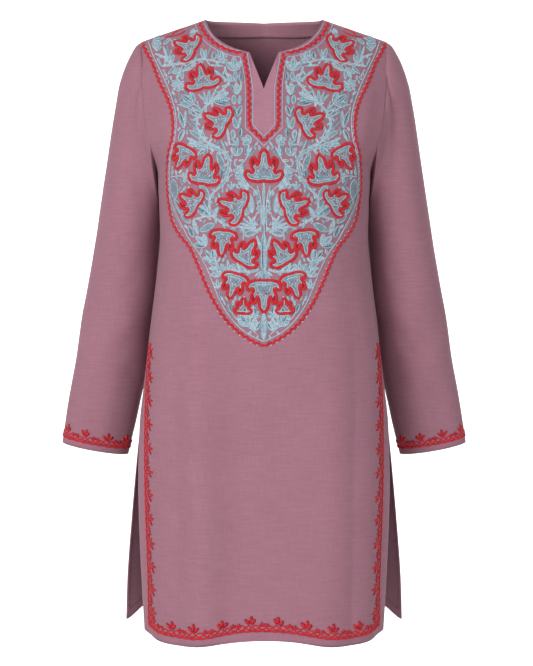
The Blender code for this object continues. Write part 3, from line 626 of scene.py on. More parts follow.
def sleeve_point(turn, row):
    """A point of the sleeve at +X. row is 0 at the armhole, 1 at the upper arm, 2 at the cuff."""
    if row >= 1:
        return sleeve_ring_point(turn, SLEEVE_TUBE_TOP_Z + (CUFF_Z - SLEEVE_TUBE_TOP_Z) * (row - 1))
    angle = 2 * math.pi * turn
    start = armhole_point(turn) - Vector((SLEEVE_TUCK, 0, 0))
    end = sleeve_ring_point(turn, SLEEVE_TUBE_TOP_Z)
    length = (end - start).length
    top_share = (1 + math.cos(angle)) / 2
    t = row**2
    leaving = Vector((1, 0, -SHOULDER_SLOPE)) * top_share * length * CAP_OUT
    leaving += SLEEVE_FORWARDS * math.sin(angle) * length * CAP_ROUND
    leaving += SLEEVE_DOWN * (1 - top_share) * length * CAP_DOWN
    arriving = SLEEVE_DOWN * length * (CAP_JOIN + CAP_JOIN_OVER * top_share)
    low = eased(start, leaving, end, arriving, t)
    tilt = SLEEVE_ACROSS.z * SLEEVE["half_width"](start.z) * math.cos(angle)
    tilt += SLEEVE_FORWARDS.z * SLEEVE["half_depth"](start.z) * math.sin(angle)
    first_z = start.z - tilt
    centre_z = first_z + (SLEEVE_TUBE_TOP_Z - first_z) * t
    fade = (1 - math.sqrt(min(1.0, (first_z - centre_z) / CAP_LENGTH))) ** 1.4
    high = sleeve_ring_point(turn, centre_z) + (start - sleeve_ring_point(turn, first_z)) * fade
    return low.lerp(high, smoothstep((top_share - CAP_FROM) / CAP_BLEND))


# Seen from the front, for the sleeve at +X
SLEEVE_CREASES = (
    Crease(-0.0022, 0.010, ((0.205, -0.110), (0.196, -0.190), (0.188, -0.270), (0.186, -0.330))),
    Crease(0.0016, 0.013, ((0.226, -0.120), (0.222, -0.230), (0.228, -0.330))),
    Crease(-0.0018, 0.009, ((0.182, -0.350), (0.205, -0.395), (0.232, -0.420))),
    Crease(0.0014, 0.010, ((0.196, -0.445), (0.222, -0.470), (0.256, -0.480))),
    Crease(-0.0018, 0.009, ((0.200, -0.475), (0.226, -0.505), (0.262, -0.515))),
    Crease(0.0012, 0.012, ((0.225, -0.520), (0.238, -0.580), (0.250, -0.640))),
    Crease(-0.0012, 0.010, ((0.262, -0.540), (0.270, -0.590), (0.276, -0.640))),
)
RIGHT_CREASE_SHARE = 0.8
RIGHT_CREASE_DROP = 0.012
SLEEVE_COLUMNS = 88
CAP_ROWS = 44
CAP_ROWS_CROWD = 0.8
ARM_ROWS = 80
SLEEVE_FACES = {}


def make_sleeve(name, side, seed):
    """side is 1 for the wearer's left sleeve and -1 for the right, whose creases are softer."""
    turns = [i / SLEEVE_COLUMNS - 0.5 for i in range(SLEEVE_COLUMNS + 1)]
    if side < 0:
        turns.reverse()
    rows = [(i / CAP_ROWS) ** CAP_ROWS_CROWD for i in range(CAP_ROWS)]
    rows += [1 + i / ARM_ROWS for i in range(ARM_ROWS + 1)]

    def place(turn, row):
        point = sleeve_point(turn % 1.0, row)
        return Vector((point.x * side, point.y, point.z))

    cloth = cloth_grid(turns, rows, place, around=True)
    creases = [
        c._replace(
            depth=c.depth * (1.0 if side > 0 else RIGHT_CREASE_SHARE),
            points=tuple((x * side, z - RIGHT_CREASE_DROP * (side < 0)) for x, z in c.points),
        )
        for c in SLEEVE_CREASES
    ]
    drape(cloth, creases, seed)
    SLEEVE_FACES[side] = BVHTree.FromBMesh(cloth)
    return finished(name, cloth, CLOTH)


for name, side, seed in (("sleeve_left", 1, 21.0), ("sleeve_right", -1, 33.0)):
    sleeve = make_sleeve(name + "_cloth", side, seed)
    sewn(sleeve, mauve_weave, name)

# Neck facing
# A narrow band of the same cloth, sewn inside the back of the neck and turned to the wrong side.
# It lies smooth against the back and shows in the shade of the neck opening, in a colour painted paler
# than the same cloth elsewhere: painted light inside the neck.
FACING_WIDTH = 0.024
FACING_REACH = math.radians(76)
FACING_CLOTH = 0.0010
FACING_GAP = 0.0005
FACING_STEEPNESS = 0.78
FACING_HALF_COLUMNS = 30
FACING_ROWS = 6
# Paler than the mauve cloth: painted light that lifts the shade inside the neck opening
FACING_PAINTED_LIGHT_TONE = (0.420, 0.200, 0.252, 1.0)
FACING_PAINTED_LIGHT_DEEP_TONE = (0.350, 0.160, 0.205, 1.0)


def nearest_spot(faces, point):
    """The spot of a cloth that is nearest to a point, and which way the cloth faces there."""
    spot, normal, _, _ = faces.find_nearest(point)
    return spot, normal


def facing_point(turn, width):
    """A point of the facing: turn runs from 1 to -1 round the back neck, and width down from it."""
    angle = FACING_REACH * turn
    x = (NECK_HALF + width) * math.sin(angle)
    z = NECK_TOP_Z + BACK_NECK_RISE * math.cos(angle) ** 2
    z -= width * (FACING_STEEPNESS * math.cos(angle) + SHOULDER_SLOPE * abs(math.sin(angle)))
    spot, normal = nearest_spot(BACK_FACES, upper_point("back", x, z))
    return spot - normal * (CLOTH + FACING_GAP)


facing_turns = [1 - i / FACING_HALF_COLUMNS for i in range(2 * FACING_HALF_COLUMNS + 1)]
facing_widths = [FACING_WIDTH * (1 - j / FACING_ROWS) for j in range(FACING_ROWS + 1)]
facing_cloth = cloth_grid(facing_turns, facing_widths, facing_point)
neck_facing = finished("neck_facing_cloth", facing_cloth, FACING_CLOTH)
facing_weave_painted_light = woven("facing_weave_painted_light", FACING_PAINTED_LIGHT_TONE, FACING_PAINTED_LIGHT_DEEP_TONE)
sewn(neck_facing, facing_weave_painted_light, "neck_facing", slot="mauve_facing")

# Yoke edge
# A thick red zigzag of chain stitch bounds the worked yoke, and a fine pale blue line runs inside
# it. Each stitch is one plump grain of cotton thread, couched on the cloth.
PHOTO_WIDTH = 533
PHOTO_HEIGHT = 666
SENSOR = 36.0
LENS = 79.49
CAMERA = Vector((0.0038, -2.25, -0.48))
PIXELS_AHEAD = LENS / SENSOR * PHOTO_HEIGHT
NEAR_FRONT_Y = -0.06
LINE_STEP = 0.002
CORD_STEP = 0.004
TOOTH_STEP = 0.0006
GRAIN_STANDS = 0.22

# Colours of the cotton threads, each with how far a stitch may be lighter or darker
Thread = namedtuple("Thread", "red green blue uneven")
RED = Thread(0.585, 0.014, 0.026, 0.14)
# Deep red is the thread of the maple leaves' side lobes, and painted shade on one side of each border
# petal
DEEP_RED_AND_PAINTED_SHADE = Thread(0.330, 0.007, 0.014, 0.15)
BLUE = Thread(0.235, 0.370, 0.445, 0.12)
PALE_BLUE = Thread(0.410, 0.555, 0.625, 0.12)
LIGHT_BLUE = Thread(0.480, 0.620, 0.680, 0.08)
DARK_BLUE = Thread(0.090, 0.165, 0.225, 0.20)
LILAC = Thread(0.440, 0.430, 0.560, 0.08)
WHITE = Thread(0.600, 0.680, 0.720, 0.08)


def seen(px, py):
    """The place (x, z) on the front that a pixel of the photograph shows."""
    across = (px - PHOTO_WIDTH / 2) / PIXELS_AHEAD
    up = (PHOTO_HEIGHT / 2 - py) / PIXELS_AHEAD
    spot = FRONT_FACES.ray_cast(CAMERA, Vector((across, 1.0, up)).normalized())[0]
    if spot is None:
        spot = CAMERA + Vector((across, 1.0, up)) * (NEAR_FRONT_Y - CAMERA.y)
    return spot.x, spot.z


def all_seen(points):
    return [seen(px, py) for px, py in points]


def on_front(x, z):
    """Where a stitch at (x, z), seen from the front, lies, and which way the cloth faces there."""
    spot, normal, _, _ = FRONT_FACES.ray_cast(Vector((x, -1.0, z)), Vector((0, 1, 0)))
    if spot is None:
        return nearest_spot(FRONT_FACES, upper_point("front", x, min(z, ridge_z(x))))
    return spot, normal


def evenly(line, spacing):
    """Points along a line of points, as near to a spacing as its length allows."""
    line = np.array(line, float)
    lengths = run_lengths(line)
    wanted = np.linspace(0, lengths[-1], max(1, round(lengths[-1] / spacing)) + 1)
    return np.column_stack([np.interp(wanted, lengths, line[:, k]) for k in range(line.shape[1])])


def smooth_line(points, spacing):
    """Evenly spaced points along a smooth curve through the given ones."""
    points = np.array(points, float)
    padded = np.vstack([2 * points[0] - points[1], points, 2 * points[-1] - points[-2]])
    t = np.linspace(0, 1, 10, endpoint=False)[:, None]
    fine = [
        (2 * b + (c - a) * t + (2 * a - 5 * b + 4 * c - d) * t**2 + (3 * b - a - 3 * c + d) * t**3) / 2
        for a, b, c, d in zip(padded, padded[1:], padded[2:], padded[3:])
    ]
    return evenly(np.vstack(fine + [points[-1:]]), spacing)


def seen_line(points, spacing=LINE_STEP):
    """A smooth line on the front through places given in pixels."""
    return smooth_line(all_seen(points), spacing)


def sideways(line, offsets):
    """A line moved to its left by an offset at each of its points."""
    ahead = np.gradient(np.array(line, float), axis=0)
    ahead /= np.linalg.norm(ahead, axis=1)[:, None]
    return line + np.column_stack([-ahead[:, 1], ahead[:, 0]]) * np.reshape(offsets, (-1, 1))


def zigzag(line, period, swing):
    """A wave between a pointed and a round one along a smooth line, swinging to both sides of it."""
    line = evenly(line, TOOTH_STEP)
    run = np.arange(len(line)) * TOOTH_STEP * 2 * math.pi / period
    pointed = np.arcsin(np.sin(run) * 0.98) * 2 / math.pi
    return sideways(line, (pointed * 0.5 + np.sin(run) * 0.5) * swing)


class Stitching:
    """Gathers the stitches of one piece of embroidery, on the cloth that a seat places them on."""

    def __init__(self, seed):
        self.random = np.random.default_rng(seed)
        self.laid = []

    def stitch(self, ends, long, wide, high, thread):
        """One stitch between two seated ends, each a spot and the way that the cloth faces there."""
        (a, facing_a), (b, facing_b) = ends
        tone = 1 + self.random.uniform(-thread.uneven, thread.uneven)
        colour = (thread.red * tone, thread.green * tone, thread.blue * tone)
        self.laid.append((*((a + b) / 2), *(b - a), *(facing_a + facing_b), long, wide, high, *colour))

    def row(self, line, thread, wide, spacing=0.0019, seat=on_front, high=0.0014, plump=1.45):
        """A row of stitches along a line of (x, z), end to end."""
        line = evenly(line, spacing)
        seats = [seat(*place) for place in line]
        for ends in zip(seats, seats[1:]):
            length = (ends[1][0] - ends[0][0]).length
            if length > 0:
                self.stitch(ends, length * plump, wide, high, thread)

    def both(self, line, thread, wide, **settings):
        """The same row on both sides of the garment."""
        line = np.array(line, float)
        self.row(line, thread, wide, **settings)
        self.row(line * (-1, 1), thread, wide, **settings)

    def made(self, name, material, *nodes, slot):
        """One mesh of closed grains, each turned along its row and flat to the cloth."""
        grain = bmesh.new()
        bmesh.ops.create_icosphere(grain, subdivisions=1, radius=0.5)
        corners = np.array([v.co for v in grain.verts])
        sides = np.array([[v.index for v in f.verts] for f in grain.faces])
        grain.free()
        laid = np.array(self.laid)
        spots, along, normals, sizes = laid[:, :3], laid[:, 3:6], laid[:, 6:9], laid[:, 9:12]
        normals = normals / np.linalg.norm(normals, axis=1)[:, None]
        along = along - normals * np.sum(along * normals, axis=1)[:, None]
        along /= np.linalg.norm(along, axis=1)[:, None]
        across = np.cross(normals, along)
        axes = np.stack([along, across, normals], axis=1) * sizes[:, :, None]
        centres = spots + normals * sizes[:, 2:3] * GRAIN_STANDS
        verts = centres[:, None, :] + np.einsum("vk,nkc->nvc", corners, axes)
        faces = sides[None, :, :] + np.arange(len(laid))[:, None, None] * len(corners)
        mesh = bpy.data.meshes.new(name)
        mesh.from_pydata(verts.reshape(-1, 3), [], faces.reshape(-1, 3))
        tint = mesh.attributes.new("thread", "FLOAT_COLOR", "POINT")
        colours = np.column_stack([laid[:, 12:15], np.ones(len(laid))])
        colours = np.repeat(colours, len(corners), axis=0).astype(np.float32)
        tint.data.foreach_set("color", colours.ravel())
        mesh.shade_smooth()
        return sewn(placed(name, mesh), material, *nodes, slot=slot)


WORN = (0.55, 0.50, 0.52, 1.0)
FIBRE_SCALE = 2600.0
WEAR_SCALE = 420.0


def cotton(name, sheen):
    """Twisted cotton thread in the colour of each stitch, with fine fibres and worn tops."""
    thread = Finish(name, Roughness=0.62, Sheen_Weight=sheen, Sheen_Roughness=0.4)
    thread.shader.inputs["Specular IOR Level"].default_value = 0.35
    dyed = thread.node("Attribute", {"attribute_name": "thread"})[0]
    place = thread.node("TexCoord")[3]
    fibres, wear = (
        thread.node("TexNoise", {}, {"Vector": place, "Scale": scale, "Detail": 2.0})[0]
        for scale in (FIBRE_SCALE, WEAR_SCALE)
    )
    darker = thread.mix(0.75, dyed, WORN, blend="MULTIPLY")
    share = thread.share(fibres * 0.5 + wear * 0.5, 0.38, 0.62)
    bump = thread.node("Bump", {}, {"Strength": 0.5, "Distance": 0.0004, "Height": fibres})[0]
    return thread.shows(Base_Color=thread.mix(share, darker, dyed), Normal=bump)


red_cotton = cotton("red_cotton", 0.0)
blue_cotton = cotton("blue_cotton", 0.08)
mauve_cotton = cotton("mauve_cotton", 0.0)

YOKE_ZIGZAG = (
    (142.6, 43.9), (147, 53.5), (152.1, 62.4), (159.1, 80.9), (166.8, 97.5), (171.3, 110.9),
    (173.2, 126.2), (172, 140), (168.8, 150.8), (167.2, 170.6), (167.9, 194.2), (171.4, 218.4),
    (178.4, 233.1), (190, 248), (198.4, 266.3), (206.1, 285.4), (214.5, 302.3), (224.4, 317.6),
    (235.9, 329.8), (251.2, 340.5), (263.5, 345.6),
)
YOKE_LINE = (
    (148.3, 41.4), (152.8, 54.1), (158.5, 66.3), (164.2, 78.4), (168.7, 89.2), (172.5, 100.1),
    (175.4, 110.9), (176.4, 124), (174.6, 140), (171.4, 152.8), (169.8, 168), (169.9, 191),
    (172.4, 203.8), (177.8, 216.5), (183.5, 228), (190, 240.3), (199.2, 253.3), (206.8, 267.8),
    (213, 283.1), (219.1, 298.5), (226.7, 312.2), (235.9, 323.7), (246.6, 332.9), (263.3, 341.5),
)
YOKE_TOOTH = 0.0093
YOKE_SWING = 0.0020
RED_CORD = 0.0046
RED_CORD_HIGH = 0.0019
FINE_CORD = 0.0021
THIN_CORD = 0.0015
# A lilac line runs between the zigzag and the pale line where the yoke is narrowest, and white
# flecks lie inside each tooth, or outside it at the foot of the yoke
LILAC_PART = slice(6, 15)
LILAC_OUT = 0.0022
FLECK_IN = 0.0030
FLECKS_OUT_BELOW_Z = -0.44
FLECK_HALF = 0.0014

yoke_edge = Stitching(5)
yoke_path = seen_line(YOKE_ZIGZAG, CORD_STEP)
yoke_edge.both(zigzag(yoke_path, YOKE_TOOTH, YOKE_SWING), RED, RED_CORD, high=RED_CORD_HIGH)
yoke_edge.made("yoke_edge_stitching", red_cotton, "yoke_edge_cord", slot="red_thread")

yoke_lines = Stitching(6)
yoke_lines.both(seen_line(YOKE_LINE), PALE_BLUE, FINE_CORD)
yoke_lines.both(sideways(seen_line(YOKE_LINE[LILAC_PART]), -LILAC_OUT), LILAC, THIN_CORD)
teeth = evenly(yoke_path, YOKE_TOOTH)
for before, tooth, after in zip(teeth, teeth[1:], teeth[2:]):
    ahead = (after - before) / np.linalg.norm(after - before)
    inner = FLECK_IN if tooth[1] > FLECKS_OUT_BELOW_Z else -FLECK_IN
    across = np.array((-ahead[1], ahead[0])) * inner
    ends = [tooth + across + ahead * d for d in (-FLECK_HALF, FLECK_HALF)]
    yoke_lines.both(ends, WHITE, THIN_CORD, spacing=2 * FLECK_HALF, plump=1.0)

# Neck border
# The same red zigzag follows the neckline and the V-notched placket to a point, between two fine
# lilac lines.
NECK_ZIGZAG = (
    (199.5, 22.5), (201.9, 28), (205.1, 33.7), (209.5, 38.8), (214.6, 43.3), (220.4, 46.5),
    (227.4, 49.7), (233.8, 51.6), (241.5, 53.0),
)
PLACKET_ZIGZAG = ((243.6, 53.6), (245.4, 62), (247.6, 75), (249, 90), (249.2, 126))
PLACKET_FOOT = ((249.2, 126), (256.5, 133.8), (264, 141))
NECK_OUTER_LINE = (
    (195.2, 24.2), (197.4, 29.9), (201.2, 36.9), (207, 43.3), (215.3, 49), (224.8, 53.5),
    (232.5, 56.1), (239.9, 57),
)
PLACKET_OUTER_LINE = ((239.9, 57), (242.4, 64), (244.1, 74.6), (245.2, 85.1), (245.5, 99), (245.5, 128))
PLACKET_OUTER_FOOT = ((245.5, 128), (264, 146))
NECK_INNER_LINE = (
    (204.4, 23.5), (206.8, 28.5), (210.7, 34.2), (216.9, 41.2), (224.4, 46.3), (232.5, 49.4), (242, 51.2),
)
PLACKET_INNER_LINE = ((247.5, 53), (248.7, 62.6), (250.5, 71.8), (252, 82), (253.1, 92), (252.9, 124.6))
PLACKET_INNER_FOOT = ((252.9, 124.6), (264, 136.6))
NECK_TOOTH = 0.0098
NECK_SWING = 0.0023
NECK_LINE_CORD = 0.0020

neck_edge = Stitching(7)
neck_paths = [seen_line(points, CORD_STEP) for points in (NECK_ZIGZAG, PLACKET_ZIGZAG)]
neck_paths.append(evenly(all_seen(PLACKET_FOOT), CORD_STEP))
for path in neck_paths:
    neck_edge.both(zigzag(path, NECK_TOOTH, NECK_SWING), RED, RED_CORD, high=RED_CORD_HIGH)
neck_edge.made("neck_edge_stitching", red_cotton, "neck_edge_cord", slot="red_thread")
for points in (NECK_OUTER_LINE, PLACKET_OUTER_LINE, NECK_INNER_LINE, PLACKET_INNER_LINE):
    yoke_lines.both(seen_line(points), LILAC, NECK_LINE_CORD)
for points in (PLACKET_OUTER_FOOT, PLACKET_INNER_FOOT):
    yoke_lines.both(all_seen(points), LILAC, NECK_LINE_CORD)
yoke_lines.made("yoke_fine_lines", blue_cotton, slot="blue_thread")

# Maple leaves
# The traditional maple leaves of the yoke: a plump red chain-stitched outline, and inside it a
# ground of pale and deeper blue rows that follow it. The two side lobes hold dark red instead.
# Each leaf's middle, the degrees that its long lobe points to, its reach, and how far its other
# lobes stand out
Leaf = namedtuple("Leaf", "x z points reach lobes")
LEAVES = (
    Leaf(0.0000, -0.2468, 90, 0.0318, 0.78),
    Leaf(0.0000, -0.4190, 270, 0.0322, 0.62),
    Leaf(0.1130, -0.0530, 26, 0.0252, 1.00),
    Leaf(0.0903, -0.1080, 79, 0.0268, 1.04),
    Leaf(0.0645, -0.1735, 26, 0.0258, 1.00),
    Leaf(0.1165, -0.2190, 300, 0.0245, 0.62),
    Leaf(0.0855, -0.2505, 101, 0.0305, 0.66),
    Leaf(0.1045, -0.2900, 34, 0.0230, 1.00),
    Leaf(0.0414, -0.2986, 21, 0.0270, 1.04),
    Leaf(0.0590, -0.3440, 276, 0.0265, 0.60),
    Leaf(0.0262, -0.3690, 121, 0.0270, 0.66),
    Leaf(0.0425, -0.4060, 287, 0.0265, 0.60),
    Leaf(0.0300, -0.4445, 94, 0.0155, 0.80),
)
# Half of the outline: degrees from the long lobe, and reach as a share of that lobe's. How far
# the side and low lobes stand out from their roots is each leaf's own.
LeafPoint = namedtuple("LeafPoint", "degrees reach")
LONG_LOBE = (LeafPoint(0, 1.00), LeafPoint(11, 0.82), LeafPoint(19, 0.62), LeafPoint(31, 0.44))
SIDE_LOBE = (
    LeafPoint(50, 0.39), LeafPoint(43, 0.52), LeafPoint(36, 0.69), LeafPoint(37, 0.83),
    LeafPoint(50, 0.82), LeafPoint(63, 0.70), LeafPoint(78, 0.55),
)
LOW_LOBE = (
    LeafPoint(90, 0.47), LeafPoint(101, 0.58), LeafPoint(93, 0.74), LeafPoint(90, 0.89),
    LeafPoint(98, 0.97), LeafPoint(109, 0.98), LeafPoint(122, 0.90), LeafPoint(137, 0.72),
    LeafPoint(153, 0.60), LeafPoint(168, 0.51),
)
SIDE_ROOT = 0.37
LOW_ROOT = 0.42
STALK_POINT = LeafPoint(180, 0.46)
LEAF_CORD = 0.0055
LEAF_CORD_HIGH = 0.0022
OUTLINE_STEP = 0.0006
# The side lobes lie beyond a share of the leaf's reach, between two turns from its long lobe
SIDE_LOBES_FROM = 0.50
SIDE_LOBES_TURN = (23, 84)
ROW_STEP = 0.0005
ROW_SLACK = 0.0002
ROW_STITCH_GAP = 0.00165
GROUND_THREADS = (LIGHT_BLUE, BLUE, PALE_BLUE, BLUE)
GROUND_INSET = 0.0030
GROUND_ROWS = 12
GROUND_EVERY = 0.0017
GROUND_CORD = 0.0025
GROUND_FIRST_CORD = 0.0016
GROUND_STITCH = 0.0028
GROUND_STEP_HALF = 0.0007
GROUND_HIGH = 0.0014
GROUND_SPECKS = 0.02
LOBE_ROWS = 2
LOBE_EVERY = 0.0022
LOBE_CORD = 0.0028
LOBE_STITCH = 0.0020


def leaf_outline(leaf):
    """The leaf's outline on the side where x is above 0, seen from the front."""
    half = [(p.degrees, p.reach) for p in LONG_LOBE]
    half += [(p.degrees, SIDE_ROOT + (p.reach - SIDE_ROOT) * (1 + leaf.lobes) / 2) for p in SIDE_LOBE]
    half += [(p.degrees, LOW_ROOT + (p.reach - LOW_ROOT) * leaf.lobes) for p in LOW_LOBE]
    whole = half + [STALK_POINT] + [(-d, r) for d, r in reversed(half[1:])] + [half[0]]
    angles = np.radians([leaf.points + d for d, _ in whole])
    reach = np.array([r for _, r in whole]) * leaf.reach
    return np.column_stack([leaf.x + reach * np.cos(angles), leaf.z + reach * np.sin(angles)])


def inner_rows(outline, first, step, count):
    """Rows of places that follow a closed outline inwards, each as (row, place, direction)."""
    outline = evenly(outline, ROW_STEP)[:-1]
    ahead = np.roll(outline, -1, axis=0) - np.roll(outline, 1, axis=0)
    ahead /= np.linalg.norm(ahead, axis=1)[:, None]
    (x, z), (next_x, next_z) = outline.T, np.roll(outline, -1, axis=0).T
    leftwards = np.sum(x * next_z - z * next_x) > 0
    inwards = np.column_stack([-ahead[:, 1], ahead[:, 0]]) * (1 if leftwards else -1)
    found = []
    for k in range(count):
        depth = first + step * k
        places = outline + inwards * depth
        gaps = np.linalg.norm(places[:, None, :] - outline[None, :, :], axis=2).min(axis=1)
        kept = np.zeros((0, 2))
        for i in np.flatnonzero(gaps > depth - ROW_SLACK):
            if len(kept) == 0 or np.linalg.norm(kept - places[i], axis=1).min() > ROW_STITCH_GAP:
                kept = np.vstack([kept, places[i]])
                found.append((k, places[i], ahead[i]))
    return found


def in_body(leaf, place):
    """Whether a place is outside the two side lobes of its leaf."""
    heading = np.array((math.cos(math.radians(leaf.points)), math.sin(math.radians(leaf.points))))
    out = place - (leaf.x, leaf.z)
    far = np.linalg.norm(out)
    turned = math.degrees(math.acos(np.clip(out @ heading / max(far, 1e-6), -1, 1)))
    first, last = SIDE_LOBES_TURN
    return far < SIDE_LOBES_FROM * leaf.reach or turned < first or turned > last


def ground(stitching, leaf, outline, sides):
    """Fills a leaf's body with stitches in rows that follow its outline, the first row slimmer."""
    for k, place, ahead in inner_rows(outline, GROUND_INSET, GROUND_EVERY, GROUND_ROWS):
        if not in_body(leaf, place):
            continue
        thread = GROUND_THREADS[min(k, len(GROUND_THREADS) - 1)]
        if k > 0 and stitching.random.random() < GROUND_SPECKS:
            thread = DARK_BLUE
        wide = GROUND_FIRST_CORD if k == 0 else GROUND_CORD
        for side in sides:
            places = [(place + ahead * d) * (side, 1) for d in (-GROUND_STEP_HALF, GROUND_STEP_HALF)]
            ends = [on_front(x, z) for x, z in places]
            stitching.stitch(ends, GROUND_STITCH, wide, GROUND_HIGH, thread)


def lobe_rows(stitching, leaf, outline, sides):
    """Short dark red stitches in two rows that follow the outline of the side lobes."""
    for _, place, ahead in inner_rows(outline, GROUND_INSET, LOBE_EVERY, LOBE_ROWS):
        if not in_body(leaf, place):
            for side in sides:
                ends = [(place + ahead * d) * (side, 1) for d in (-LOBE_STITCH / 2, LOBE_STITCH / 2)]
                stitching.row(ends, DEEP_RED_AND_PAINTED_SHADE, LOBE_CORD, spacing=2 * LOBE_STITCH, plump=1.3)


leaf_outlines = Stitching(11)
leaf_grounds = Stitching(12)
leaf_nodes = []
for leaf in LEAVES:
    outline = smooth_line(leaf_outline(leaf), OUTLINE_STEP)
    sides = (1,) if leaf.x == 0 else (1, -1)
    for side in sides:
        leaf_outlines.row(outline * (side, 1), RED, LEAF_CORD, high=LEAF_CORD_HIGH)
        leaf_nodes.append(f"yoke_leaf_{len(leaf_nodes) + 1:02d}")
    ground(leaf_grounds, leaf, outline, sides)
    lobe_rows(leaf_outlines, leaf, outline, sides)
leaf_outlines.made("maple_leaf_outlines", red_cotton, *leaf_nodes, slot="red_thread")
leaf_grounds.made("maple_leaf_grounds", blue_cotton, slot="blue_thread")

# Vines and flowers
# Blue cotton vines, leaves, tulips and buds fill the yoke between the maple leaves, the same on
# both sides. Each leaf has pale rows round deeper ones, or the reverse, and a few dark ones.
Vine = namedtuple("Vine", "rows points")
VINES = (
    Vine(2, ((155.3, 53.8), (164.2, 57.3), (167.4, 61.2), (175.7, 64.4), (184.6, 62.8), (194.2, 60.8),
             (201.2, 59.3), (210.2, 60.2), (217.8, 61.8), (224.8, 62.4))),
    Vine(2, ((224.8, 66.3), (226.1, 72.6), (229.3, 79), (228, 84.1), (222.3, 90.5), (212, 101.3),
             (204.4, 107.7), (199.3, 116), (196.8, 123.7), (199.2, 132), (205.5, 141))),
    Vine(1, ((177.6, 104.5), (185.9, 107.1), (192.9, 110.3), (199, 115.5))),
    Vine(1, ((228, 84.1), (232, 80.5), (236, 78))),
    Vine(3, ((189.2, 141.9), (198.2, 143.2), (206.5, 146.4), (214.7, 148.3), (222.4, 151.5),
             (226.2, 154.7), (228.8, 159.1), (229.4, 165.5), (227.5, 173.2), (224.9, 180.8),
             (219.8, 187.2))),
    Vine(2, ((219.8, 187.2), (213.5, 192.9), (210.3, 197.4), (209.6, 203.8), (210.3, 213.5))),
    Vine(1, ((251.7, 148.3), (244.7, 161), (240, 165.5), (241.5, 173.2), (247.3, 183.4), (255.6, 191),
             (259.2, 198.4))),
    Vine(1, ((231.3, 185.3), (240, 184.8), (247.9, 185.9))),
    Vine(1, ((171.4, 177), (180.3, 176), (186, 179.5), (190.5, 184))),
    Vine(2, ((193.7, 219.7), (200.7, 217.8), (209.6, 215.3), (216, 218.4), (224.3, 224.2), (235.2, 226.1),
             (246, 228), (254.3, 229.3), (258, 233))),
    Vine(2, ((259.5, 269.4), (253.5, 271.4), (247.4, 271.7), (235.9, 270.9), (223.7, 272.4))),
    Vine(1, ((231.3, 311.5), (235.9, 318.3), (243.6, 324.5), (249, 327.5), (257, 334))),
    Vine(1, ((257.4, 186), (259.6, 194), (261, 204), (261, 232))),
    Vine(1, ((257, 212), (254.5, 222), (256.5, 232))),
    Vine(1, ((182.1, 65.6), (181.4, 69.5))),
    Vine(1, ((203.5, 132.5), (206.5, 141.5))),
)
